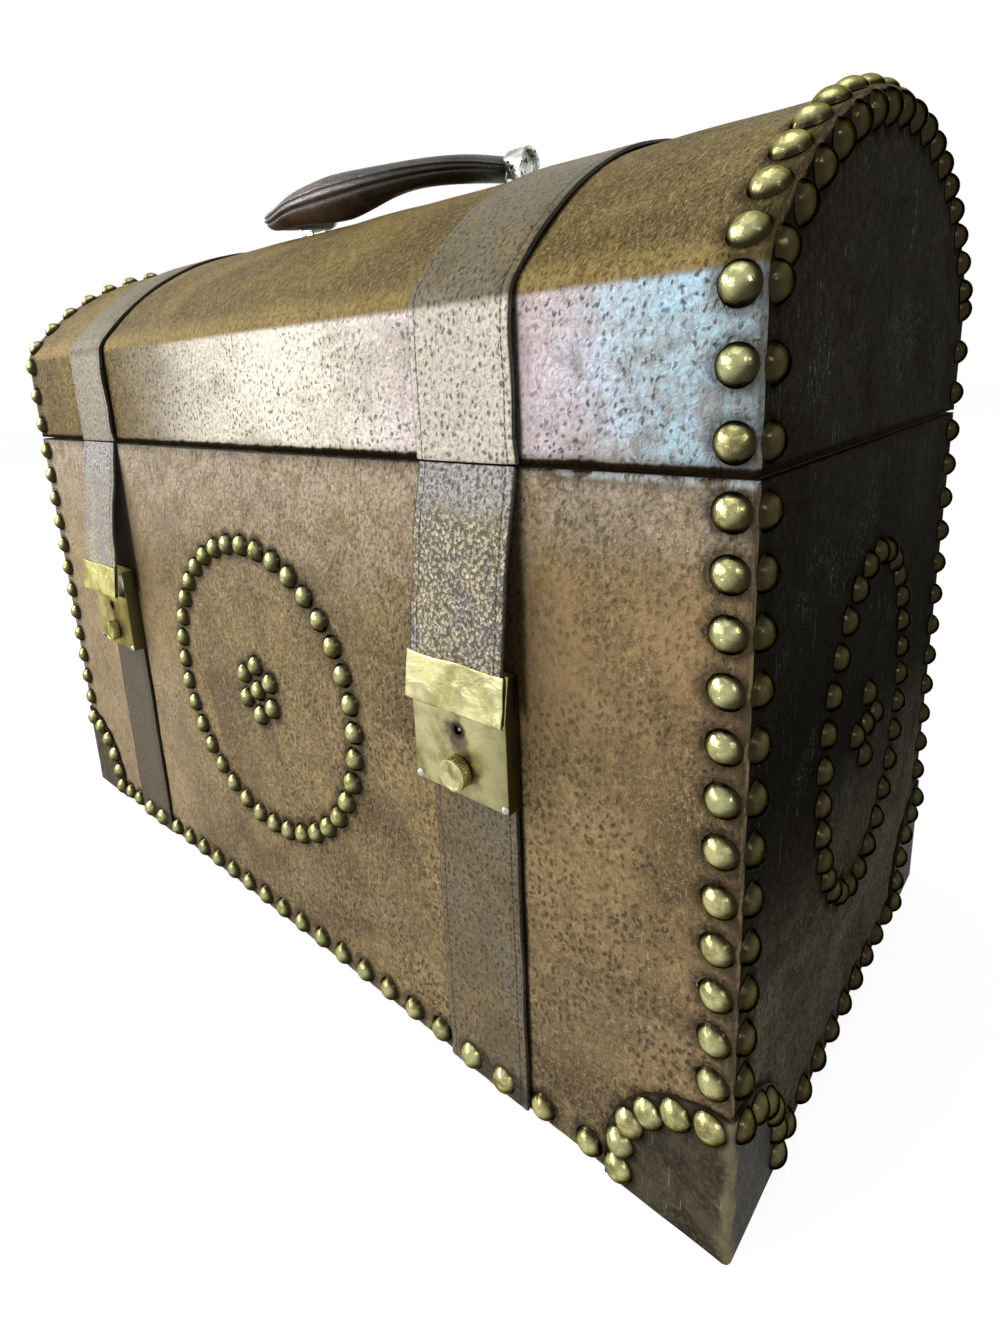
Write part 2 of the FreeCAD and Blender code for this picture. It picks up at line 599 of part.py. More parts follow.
# Hinges: two leaves with three knuckles on a pin, on the back
def hinges():
    axis_y = "%s + knuckle_radius + hinge_seat_clearance" % HALF_Y
    swing = "knuckle_radius + knuckle_gap"
    third = "(hinge_width / 3)"
    base_leaves, lid_leaves, pins, base_screws, lid_screws = [], [], [], [], []
    for side, sign in (("left", "-"), ("right", "")):
        centre = sign + HINGE_OFFSET
        x = ("%s - hinge_width / 2" % centre, "%s + hinge_width / 2" % centre)
        y = (HALF_Y, "%s + hinge_leaf_thickness" % HALF_Y)
        middle_start = "%s - %s / 2" % (centre, third)
        spans = {"base": [(x[0], "%s - knuckle_gap" % middle_start),
                          ("%s + %s + knuckle_gap" % (middle_start, third), x[1])],
                 "lid": [(middle_start, "%s + %s" % (middle_start, third))]}
        for owner, leaves in (("base", base_leaves), ("lid", lid_leaves)):
            name = "%s_%s_leaf" % (side, owner)
            if owner == "base":
                z = ("base_height - hinge_leaf_height", "base_height - seam_gap / 2")
            else:
                z = ("base_height + seam_gap / 2", "base_height + hinge_leaf_height")
            plate = box(name + "_plate", x, y, z)
            clears, knuckles = [], []
            other = "lid" if owner == "base" else "base"
            for number, (low, high) in enumerate(spans[other]):
                start = "%s - knuckle_gap" % low
                length = "(%s) - (%s) + 2 * knuckle_gap" % (high, low)
                clears.append(cylinder("%s_clear_%d" % (name, number), swing, length,
                                       (start, axis_y, "base_height"), (1, 0, 0)))
            clear = joined(name + "_clears", *clears) if len(clears) > 1 else clears[0]
            trimmed = cut(name + "_trimmed", plate, clear)
            for number, (low, high) in enumerate(spans[owner]):
                length = "(%s) - (%s)" % (high, low)
                knuckles.append(cylinder("%s_knuckle_%d" % (name, number), "knuckle_radius", length,
                                         (low, axis_y, "base_height"), (1, 0, 0)))
            whole = joined(name + "_whole", trimmed, *knuckles)
            bore = cylinder(name + "_bore", "hinge_pin_radius + running_clearance",
                            "hinge_width + 2 * cut_overrun",
                            (x[0] + " - cut_overrun", axis_y, "base_height"), (1, 0, 0))
            leaves.append(cut(name, whole, bore))
        shaft = cylinder("%s_hinge_shaft" % side, "hinge_pin_radius", "hinge_width",
                         (x[0], axis_y, "base_height"), (1, 0, 0))
        heads = []
        for number, (start, direction) in enumerate(((x[0], (-1, 0, 0)), (x[1], (1, 0, 0)))):
            heads.append(cylinder("%s_hinge_head_%d" % (side, number), "knuckle_radius - knuckle_gap",
                                  "hinge_leaf_thickness", (start, axis_y, "base_height"), direction))
        pins.append(joined("%s_hinge_pin" % side, shaft, *heads))
        middle = size["trunk_length"] * size["hinge_place_share"] * (-1 if sign else 1)
        reach = size["hinge_width"] / 2 - size["screw_head_diameter"]
        up = (size["knuckle_radius"] + size["knuckle_gap"] + size["hinge_leaf_height"]) / 2
        surface = half_y + size["hinge_leaf_thickness"]
        for across in (-reach, 0, reach):
            base_screws.append(((middle + across, surface, size["base_height"] - up), (0, 1, 0)))
            lid_screws.append(((middle + across, surface, size["base_height"] + up), (0, 1, 0)))
    keep(group("hinge_base_leaves", *base_leaves))
    keep(group("hinge_lid_leaves", *lid_leaves))
    keep(group("hinge_pins", *pins))
    length = size["hinge_leaf_thickness"] + WALL_NAIL
    screw = nail(size["screw_head_diameter"], size["screw_head_rise"], length)
    nails("hinge_base_screws", screw, base_screws)
    nails("hinge_lid_screws", screw, lid_screws)


# Locks: a brass case open at the top, a bolt plate moved by a knob, a spring and the post of the key
def lock(side, sign):
    centre = sign + STRAP_OFFSET + " - lock_shift"
    front = "-(%s)" % HALF_Y
    bottom = LOCK_BOTTOM[side]
    knob_z = bottom + " + knob_height"
    keyhole_z = bottom + " + keyhole_height"
    top = bottom + " + lock_height"
    face = "%s - lock_depth" % front
    window = "%s - lock_recess" % top
    name = side + "_lock"
    x = ("%s - lock_width / 2" % centre, "%s + lock_width / 2" % centre)
    block = box(name + "_block", x, (face, front), (bottom, top))
    inside = (x[0] + " + lock_sheet", x[1] + " - lock_sheet")
    over = top + " + cut_overrun"
    through = "lock_sheet + 2 * cut_overrun"
    behind_face = face + " + lock_sheet + cut_overrun"
    hollow = box(name + "_hollow", inside, (face + " + lock_sheet", front + " - lock_sheet"),
                 (bottom + " + lock_sheet", over))
    deep = (face + " - cut_overrun", front + " - lock_sheet")
    opening = box(name + "_window", inside, deep, (window, over))
    keyhole = cylinder(name + "_keyhole", "keyhole_diameter / 2", through, (centre, behind_face, keyhole_z),
                       (0, -1, 0))
    shank = "knob_shank_diameter / 2 + slide_clearance"
    cuts = [hollow, opening, keyhole]
    for number, shift in enumerate(("0", "slide_travel")):
        start = ("%s + %s" % (centre, shift), behind_face, knob_z)
        cuts.append(cylinder("%s_slot_%d" % (name, number), shank, through, start, (0, -1, 0)))
    cuts.append(box(name + "_slot_middle", (centre, centre + " + slide_travel"),
                    (face + " - cut_overrun", behind_face),
                    ("%s - (%s)" % (knob_z, shank), "%s + %s" % (knob_z, shank))))
    keep(cut(name + "_case", block, joined(name + "_cuts", *cuts)))

    # Bolt plate: a wide foot, an arm up its right side and a nose across the catch's way
    plate_y = "%s - lock_sheet - slide_clearance - slide_thickness / 2" % front
    low = "-(knob_height - lock_sheet - slide_clearance)"
    shoulder = "keyhole_height - keyhole_diameter / 2 - knob_height - 2 * slide_clearance"
    nose_top = "lock_height - lock_recess / 2 - knob_height + bolt_height / 2"
    nose_bottom = nose_top + " - bolt_height"
    arm = "slide_half_width - slide_arm_width"
    corners = [("-slide_half_width", low), ("slide_half_width", low), ("slide_half_width", nose_top),
               ("-bolt_reach", nose_top), ("-bolt_reach", nose_bottom), (arm, nose_bottom), (arm, shoulder),
               ("-slide_half_width", shoulder)]
    keep(padded_body(side + "_bolt_plate", "XZ_Plane", corners, "slide_thickness",
                     (centre, plate_y, knob_z)))

    # Knob: its neck passes the slot and meets the bolt plate
    neck = "lock_depth - lock_sheet - slide_clearance - slide_thickness + knob_clearance"
    outer = "knob_diameter / 2"
    profile = [("0", "0"), ("knob_shank_diameter / 2", "0"), ("knob_shank_diameter / 2", neck), (outer, neck),
               (outer, neck + " + knob_rise - knob_round"), (outer + " - knob_round", neck + " + knob_rise"),
               ("0", neck + " + knob_rise")]
    keep(turned_body(side + "_lock_knob", profile,
                     (centre, "%s - lock_sheet - slide_clearance - slide_thickness" % front, knob_z),
                     (0, -1, 0)))

    post_start = "%s - lock_sheet" % front
    post = cylinder(side + "_key_post", "key_post_diameter / 2", "lock_depth - 2 * lock_sheet",
                    (centre, post_start, keyhole_z), (0, -1, 0))
    spring_x = "%s - slide_half_width" % centre
    spring_length = "lock_width / 2 - lock_sheet - slide_half_width"
    spring_at = (spring_x, plate_y + " - (spring_diameter - slide_thickness) / 2", knob_z)
    coil = cylinder(side + "_spring_outside", "spring_diameter / 2", spring_length, spring_at, (-1, 0, 0))
    bore = cylinder(side + "_spring_inside", "spring_diameter / 2 - spring_wire", spring_length, spring_at,
                    (-1, 0, 0))
    return post, cut(side + "_lock_spring", coil, bore)


def locks():
    left = lock("left", "-")
    right = lock("right", "")
    keep(group("key_posts", left[0], right[0]))
    keep(group("lock_springs", left[1], right[1]))
    inset = size["lock_pin_diameter"] / 2
    pin = nail(size["lock_pin_diameter"], size["lock_pin_rise"], size["lock_depth"] + WALL_NAIL)
    seats = []
    for side, centre in (("left", -strap_offset), ("right", strap_offset)):
        for hand in (-1, 1):
            x = centre - size["lock_shift"] + hand * (size["lock_width"] / 2 - inset)
            z = size["base_height"] - size["lock_drop"] - lower_by[side] + inset
            seats.append(((x, -half_y - size["lock_depth"], z), (0, -1, 0)))
    nails("lock_pins", pin, seats)


# Strap ends: a leather flap, its brass clip and the catch plate, hung from the lid's lower edge
def strap_end(side, sign):
    """The pieces are drawn hanging straight below the bend, then turned outwards about it."""
    bend_height = lid_bottom - size["flap_clearance"] - size["flap_thickness"] / 2
    bend = Vector(strap_offset * sign, -half_y - size["strap_thickness"] / 2, bend_height)
    low = -size["flap_length"] - lower_by[side]
    half_flap = size["flap_thickness"] / 2
    pocket = half_flap + size["hasp_slack"]
    half_hasp = pocket + size["hasp_sheet"]
    wide, clip = size["flap_width"] / 2, size["hasp_width"] / 2
    strap_low = low + size["hasp_sheet"] + size["hasp_slack"]

    def slab(half_width, near, far, bottom, high, middle=0):
        start = Vector(middle - half_width, near, bottom)
        return Part.makeBox(2 * half_width, far - near, high - bottom, start)

    bend_round = Part.makeCylinder(half_flap, 2 * wide, Vector(-wide, 0, 0), Vector(1, 0, 0))
    leather = slab(wide, -half_flap, half_flap, strap_low, 0).fuse(bend_round).removeSplitter()
    hasp_top = low + size["hasp_height"]
    clip_shape = slab(clip, -half_hasp, half_hasp, low, hasp_top)
    clip_shape = clip_shape.cut(slab(clip + size["cut_overrun"], -pocket, pocket, low + size["hasp_sheet"],
                                     hasp_top + size["cut_overrun"]))
    tongue_low = low + size["tongue_rise"]
    tongue = slab(size["tongue_thickness"] / 2, half_hasp, half_hasp + size["tongue_reach"], tongue_low,
                  tongue_low + size["tongue_height"], -size["lock_shift"])
    eye_y = half_hasp + size["tongue_reach"] - 2 * size["tongue_eye_radius"]
    eye_x = -size["lock_shift"] - size["tongue_thickness"]
    eye = Part.makeCylinder(size["tongue_eye_radius"], 2 * size["tongue_thickness"],
                            Vector(eye_x, eye_y, tongue_low + size["tongue_height"] / 2), Vector(1, 0, 0))
    pose = Placement(bend, Rotation(Vector(-1, 0, 0), size["flap_tilt"]))
    for label, shape in (("strap_flap", leather), ("hasp", clip_shape), ("hasp_tongue", tongue.cut(eye))):
        keep(feature("%s_%s" % (side, label), shape)).Placement = pose


# Handle: a bowed grip on a steel rod, with metal ends that turn in two riveted loops
def handle():
    pivot = Vector(0, 0, dome_top + size["pivot_rise"])
    half_grip = size["handle_half_span"] - size["grip_setback"]
    bow = size["handle_bow"]
    power = size["grip_squareness"]
    to_dome = dome_radius + size["grip_middle_radius"] + size["grip_clearance"]
    rise = pivot.z - dome_centre
    droop = math.degrees(math.asin((bow ** 2 + rise ** 2 - to_dome ** 2) / (2 * bow * rise)))

    def ring(share, girth):
        """A round section of the grip, at a place from -1 at its left end to 1 at its right end."""
        turn = math.radians(90 * share)
        across = math.copysign(abs(math.sin(turn)) ** (2 / power), share)
        ahead = -max(0, math.cos(turn)) ** (2 / power)
        slope = Vector(abs(ahead) ** (power - 1) / bow, abs(across) ** (power - 1) / half_grip, 0)
        slope.y = math.copysign(slope.y, share)
        return Part.Wire(Part.makeCircle(girth, Vector(half_grip * across, bow * ahead, 0), slope))

    steps = STATIONS_ON_HALF_GRIP
    places = [i / steps for i in range(-steps, steps + 1)]
    extra = size["grip_middle_radius"] - size["grip_end_radius"]
    sections = [ring(place, size["grip_end_radius"] + extra * (1 - place ** 2)) for place in places]
    grip = Part.makeLoft(sections, True)
    core = Part.makeLoft([ring(place, size["grip_core_radius"]) for place in places], True)
    cap_end = size["handle_half_span"] + size["loop_width"] - size["end_cap_recess"]
    cap_length = cap_end - half_grip
    caps = []
    for sign in (-1, 1):
        end = Vector(sign * half_grip, 0, 0)
        bar = Part.makeCylinder(size["end_cap_radius"], cap_length, end, Vector(sign, 0, 0))
        caps.append(bar.fuse(Part.makeSphere(size["end_cap_radius"], end)))
    for cap in caps:
        grip = grip.cut(cap)
        core = core.cut(cap)
    grip = grip.cut(core)
    pose = Placement(pivot, Rotation(Vector(1, 0, 0), droop))
    ends = Part.makeCompound(caps)
    for label, shape in (("handle_grip", grip), ("handle_core", core), ("handle_ends", ends)):
        keep(feature(label, shape)).Placement = pose


def handle_fittings():
    plate_top = "%s + plate_sheet" % DOME_TOP
    pivot_z = "%s + pivot_rise" % DOME_TOP
    inner, outer = "end_cap_radius + end_cap_clearance", "end_cap_radius + end_cap_clearance + loop_sheet"
    foot_top = "%s + loop_sheet" % plate_top
    plates, loops, seats = [], [], []
    for side, sign in (("left", -1), ("right", 1)):
        ends = ("plate_inner_end", "handle_half_span + loop_width + plate_overhang")
        span = ("handle_half_span", "handle_half_span + loop_width")
        if sign < 0:
            ends = ("-(%s)" % ends[1], "-(%s)" % ends[0])
            span = ("-(%s)" % span[1], "-(%s)" % span[0])
        plates.append(box(side + "_handle_plate", ends, ("-plate_half_width", "plate_half_width"),
                          (DOME_TOP, plate_top)))
        name = side + "_handle_loop"
        arch = cylinder(name + "_arch", outer, "loop_width", (span[0], "0", pivot_z), (1, 0, 0))
        legs = box(name + "_legs", span, ("-(%s)" % outer, outer), (plate_top, pivot_z))
        feet = box(name + "_feet", span, ("-loop_foot_reach", "loop_foot_reach"), (plate_top, foot_top))
        past_span = (span[0] + " - cut_overrun", span[1] + " + cut_overrun")
        bore = cylinder(name + "_bore", inner, "loop_width + 2 * cut_overrun", (past_span[0], "0", pivot_z),
                        (1, 0, 0))
        gap = box(name + "_gap", past_span, ("-(%s)" % inner, inner), (plate_top + " - cut_overrun", pivot_z))
        waist_z = "(%s + %s) / 2" % (foot_top, pivot_z)
        waists = []
        for number, x in enumerate((span[0] + " + loop_waist - loop_waist_radius",
                                    span[1] + " - loop_waist + loop_waist_radius")):
            waists.append(cylinder("%s_waist_%d" % (name, number), "loop_waist_radius", "4 * (%s)" % outer,
                                   (x, "-2 * (%s)" % outer, waist_z), (0, 1, 0)))
        blank = joined(name + "_blank", arch, legs, feet)
        legs_only = box(name + "_waist_room", past_span, ("-2 * (%s)" % outer, "2 * (%s)" % outer),
                        (foot_top, pivot_z))
        hollows = shared(name + "_waists", joined(name + "_waist_bars", *waists), legs_only)
        loops.append(cut(name, blank, joined(name + "_cuts", bore, gap, hollows)))
        middle = sign * (size["handle_half_span"] + size["loop_width"] / 2)
        leg_y = size["end_cap_radius"] + size["end_cap_clearance"] + size["loop_sheet"]
        foot_y = (size["loop_foot_reach"] + leg_y) / 2
        inner_x = sign * (size["plate_inner_end"] + size["rivet_inset"])
        surface = dome_top + size["plate_sheet"]
        for hand in (-1, 1):
            seats.append(((middle, hand * foot_y, surface + size["loop_sheet"]), (0, 0, 1)))
            seats.append(((inner_x, hand * size["rivet_half_spacing"], surface), (0, 0, 1)))
    keep(group("handle_plates", *plates))
    keep(group("handle_loops", *loops))
    depth = size["plate_sheet"] + size["loop_sheet"] + DOME_NAIL
    nails("handle_rivets", nail(size["rivet_head_diameter"], size["rivet_head_rise"], depth), seats)


base_boards()
base_leather()
base_lining()
lid_boards()
lid_leather()
lid_lining()
lid_straps()
base_bands()
corner_patches()
base_studs()
lid_studs()
hinges()
locks()
for side, sign in (("left", -1), ("right", 1)):
    strap_end(side, sign)
handle()
handle_fittings()
doc.recompute()

# Every object is checked before any file is written
for thing in doc.Objects:
    if "Invalid" in thing.State or "Error" in thing.State:
        raise RuntimeError("%s did not rebuild: %s" % (thing.Label, thing.State))
for part in parts:
    if part.Shape.isNull() or not part.Shape.isValid() or not part.Shape.Solids:
        raise RuntimeError("%s has no valid solid" % part.Label)
os.makedirs("parts", exist_ok=True)
for part in parts:
    part.Shape.exportStep(os.path.join("parts", part.Label + ".step"))
print("%d nodes written" % len(parts))
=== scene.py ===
import json
import math

import bpy
import numpy as np
from mathutils import Matrix, Vector

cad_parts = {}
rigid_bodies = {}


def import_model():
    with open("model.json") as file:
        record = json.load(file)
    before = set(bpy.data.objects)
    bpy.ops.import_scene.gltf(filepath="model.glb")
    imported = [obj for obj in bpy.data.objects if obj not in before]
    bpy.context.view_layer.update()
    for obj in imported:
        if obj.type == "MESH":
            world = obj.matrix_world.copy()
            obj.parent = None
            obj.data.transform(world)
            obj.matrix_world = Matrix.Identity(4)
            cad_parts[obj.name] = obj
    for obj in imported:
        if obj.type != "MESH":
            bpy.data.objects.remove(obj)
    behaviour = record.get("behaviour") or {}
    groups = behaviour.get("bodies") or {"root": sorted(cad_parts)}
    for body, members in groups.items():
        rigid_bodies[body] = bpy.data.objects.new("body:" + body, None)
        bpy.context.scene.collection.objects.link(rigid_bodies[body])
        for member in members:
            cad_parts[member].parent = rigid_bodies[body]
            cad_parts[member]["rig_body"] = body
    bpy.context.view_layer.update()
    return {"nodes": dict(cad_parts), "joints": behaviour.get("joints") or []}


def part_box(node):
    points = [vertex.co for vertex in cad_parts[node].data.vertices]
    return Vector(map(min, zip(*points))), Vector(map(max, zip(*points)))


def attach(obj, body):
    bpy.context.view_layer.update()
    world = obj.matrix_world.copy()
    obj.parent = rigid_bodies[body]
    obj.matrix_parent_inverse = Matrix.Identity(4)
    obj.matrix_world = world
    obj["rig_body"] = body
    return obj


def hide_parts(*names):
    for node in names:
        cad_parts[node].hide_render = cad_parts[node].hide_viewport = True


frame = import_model()
nodes = frame["nodes"]
body_of = {node: thing["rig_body"] for node, thing in nodes.items()}
pivots = {joint["name"]: Vector(joint["pos_m"]) for joint in frame["joints"] if "pos_m" in joint}

MM = 0.001
SIDES = ("left", "right")
half_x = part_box("base_front_leather")[1].x
half_y = -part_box("base_front_leather")[0].y
seam = pivots["lid_hinge"].z
lid_low, dome_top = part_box("lid_leather")[0].z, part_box("lid_leather")[1].z
BREAK_RADIUS = 10 * MM
DOME_RISE = 56 * MM
DOME_RADIUS = (half_y ** 2 + DOME_RISE ** 2) / (2 * DOME_RISE)
dome_centre = dome_top - DOME_RADIUS
break_y = half_y - BREAK_RADIUS
break_z = dome_centre + math.sqrt((DOME_RADIUS - BREAK_RADIUS) ** 2 - break_y ** 2)
dome_half_angle = math.asin(break_y / (DOME_RADIUS - BREAK_RADIUS))
break_angle = math.pi / 2 - dome_half_angle
HIDE = 1.8 * MM
STRAP_END = 1.4 * MM
FLAP_TILT = math.radians(8.5)
STRAP_X = 143.7 * MM
BAND_SHIFT = 3.5 * MM
STUD_FOOT = 5.6 * MM
STITCH_INSET = 3.4 * MM
FAR = 50 * MM
RIM_REACH = 30 * MM
TOUCH = 1e-6
MERGE = 1e-5


# Camera and light -----------------------------------------------------------------------------------------------
def linked(name, data):
    thing = bpy.data.objects.new(name, data)
    bpy.context.scene.collection.objects.link(thing)
    return thing


def set_camera():
    lens = bpy.data.cameras.new("photo_camera")
    camera = bpy.context.scene.camera = linked("photo_camera", lens)
    camera.location = (0.30490461, -0.29358993, 0.27812973)
    camera.rotation_euler = [math.radians(a) for a in (76.63969, 2.74478, 41.83720)]
    lens.sensor_fit = "VERTICAL"
    lens.sensor_height = 36
    lens.lens = 19.844365
    lens.shift_x, lens.shift_y = 0.0201786, -0.0892503
    lens.clip_start = 0.01


def area_light(name, place, target, width, height, power, colour):
    lamp = bpy.data.lights.new(name, "AREA")
    lamp.shape = "RECTANGLE"
    lamp.size, lamp.size_y = width, height
    lamp.energy = power
    lamp.color = colour
    holder = linked(name, lamp)
    holder.location = place
    holder.rotation_euler = (Vector(target) - Vector(place)).to_track_quat("-Z", "Y").to_euler()


# Finishes -------------------------------------------------------------------------------------------------------
def toned(colour, factor, more=0.0):
    return [min(1, factor * part + more) for part in colour]


class Value:
    """A number that varies over a surface, and the sums that can be made with it."""

    def __init__(self, maker, socket):
        self.maker, self.socket = maker, socket

    def __add__(self, other):
        return self.maker.math("ADD", self, other)

    def __sub__(self, other):
        return self.maker.math("SUBTRACT", self, other)

    def __rsub__(self, other):
        return self.maker.math("SUBTRACT", other, self)

    def __mul__(self, other):
        return self.maker.math("MULTIPLY", self, other)

    def __abs__(self):
        return self.maker.math("ABSOLUTE", self)

    def at_least(self, other):
        return self.maker.math("MAXIMUM", self, other)

    def at_most(self, other):
        return self.maker.math("MINIMUM", self, other)

    def step(self, start, end, low=0.0, high=1.0):
        """Goes smoothly from low to high while the value goes from start to end."""
        return self.maker.number("MapRange", {"Value": self, "From Min": start, "From Max": end, "To Min": low,
                                              "To Max": high}, interpolation_type="SMOOTHSTEP")


class Nodes:
    """A node tree, and short ways to add to it."""

    def __init__(self, tree):
        self.tree = tree

    def feed(self, socket, value):
        value = value.socket if isinstance(value, Value) else value
        if isinstance(value, bpy.types.NodeSocket):
            self.tree.links.new(value, socket)
        else:
            socket.default_value = value

    def put(self, kind, inputs, **settings):
        made = self.tree.nodes.new("ShaderNode" + kind)
        for key, value in settings.items():
            setattr(made, key, value)
        for key, value in inputs.items():
            self.feed(made.inputs[key], value)
        return made

    def number(self, kind, inputs, output=0, **settings):
        return Value(self, self.put(kind, inputs, **settings).outputs[output])

    def math(self, operation, first, second=0.0):
        return self.number("Math", {0: first, 1: second}, operation=operation)

    def seen_directly(self):
        """1 where the camera, a clear piece or a shiny piece looks."""
        ray = self.put("LightPath", {})
        camera, clear, shiny = (Value(self, ray.outputs["Is %s Ray" % kind]) for kind in
                                ("Camera", "Transmission", "Glossy"))
        return camera.at_least(clear).at_least(shiny)


class Finish(Nodes):
    """A material: solid ones follow the object's own coordinates, the others the layout of the surface in metres."""

    def __init__(self, name, solid=False, **shader_values):
        self.material = bpy.data.materials.new(name)
        self.material.use_nodes = True
        Nodes.__init__(self, self.material.node_tree)
        self.shader = self.tree.nodes["Principled BSDF"]
        for key, value in shader_values.items():
            self.shader.inputs[key.replace("_", " ")].default_value = value
        place = self.put("TexCoord", {}).outputs["Object"]
        self.x, self.y, self.z = self.split(place)
        self.sheet = place if solid else self.put("UVMap", {}, uv_map="flat").outputs["UV"]
        self.dimensions = "3D" if solid else "2D"
        self.colour, self.heights = None, []

    def split(self, vector):
        return [Value(self, part) for part in self.put("SeparateXYZ", {0: vector}).outputs]

    def measure(self, name):
        return self.number("Attribute", {}, "Fac", attribute_name=name)

    def stretched(self, vector, scale, turn=0.0, shift=(0, 0, 0)):
        return self.put("Mapping", {"Vector": vector, "Scale": scale, "Rotation": (0, 0, turn),
                                    "Location": shift}).outputs[0]

    def wandering(self, vector, scale, detail, amount):
        """The layout, pushed to and fro a little."""
        push = self.put("TexNoise", {"Vector": vector, "Scale": scale, "Detail": detail},
                        noise_dimensions="2D").outputs["Color"]
        push = self.put("VectorMath", {0: push, 1: (amount, amount, 0)}, operation="MULTIPLY").outputs[0]
        return self.put("VectorMath", {0: vector, 1: push}, operation="ADD").outputs[0]

    def noise(self, scale, detail=3.0, roughness=0.55, distortion=0.0, stretch=None, turn=0.0, shift=(0, 0, 0)):
        vector = self.stretched(self.sheet, stretch, turn, shift) if stretch else self.sheet
        return self.number("TexNoise", {"Vector": vector, "Scale": scale, "Detail": detail, "Roughness": roughness,
                                        "Distortion": distortion}, "Fac", noise_dimensions=self.dimensions)

    def blend(self, factor, first, second):
        made = self.put("Mix", {0: factor}, data_type="RGBA")
        for place, colour in ((6, first), (7, second)):
            self.feed(made.inputs[place], colour if isinstance(colour, bpy.types.NodeSocket) else (*colour, 1))
        return made.outputs[2]

    def paint(self, amount, colour):
        self.colour = self.blend(amount, self.colour, colour)

    def raise_by(self, height, millimetres):
        self.heights.append(height * millimetres)

    def done(self, roughness):
        self.feed(self.shader.inputs["Base Color"], self.colour)
        self.feed(self.shader.inputs["Roughness"], roughness)
        total = self.heights[0]
        for height in self.heights[1:]:
            total += height
        bump = self.put("Bump", {"Strength": 1.0, "Distance": MM, "Height": total})
        self.feed(self.shader.inputs["Normal"], bump.outputs[0])
        return self.material


def pores(finish, sheet, spacing, size, turn=0.0, soft=0.35):
    """Small pits of hog hide, each of its own depth: 1 in a pit and 0 between them."""
    longer = finish.stretched(finish.wandering(sheet, 330.0, 3.0, 0.003), (1.0, 0.74, 1.0), turn)
    cell = finish.put("TexVoronoi", {"Vector": longer, "Scale": 1 / spacing, "Randomness": 0.8},
                      voronoi_dimensions="2D")
    depth = finish.split(cell.outputs["Color"])[0].step(0.0, 0.8, 0.25, 1.0)
    return Value(finish, cell.outputs["Distance"]).step(size / spacing, size * soft / spacing) * depth


def beside_straps(finish):
    """Painted shadow under the strap ends and along the right edges of the straps and bands."""
    total, across, height = None, finish.x, finish.z
    for side, strap in zip(SIDES, (-STRAP_X, STRAP_X)):
        band = strap - BAND_SHIFT
        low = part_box(side + "_hasp")[0].z
        flap = abs(across - strap).step(24 * MM, 20.5 * MM) * height.step(seam + 0.4 * MM, seam)
        flap *= height.step(low - 6 * MM, low + 4 * MM)
        edge = abs(across - (strap + 21.6 * MM)).step(2.6 * MM, 0.9 * MM) * height.step(seam, seam + MM)
        line = abs(across - (band + 20.8 * MM)).step(2.4 * MM, 0.5 * MM) * height.step(low + 2 * MM, low - 2 * MM)
        mark = (flap * 0.86).at_least((edge * 0.92).at_least(line))
        total = mark if total is None else total.at_least(mark)
    return total


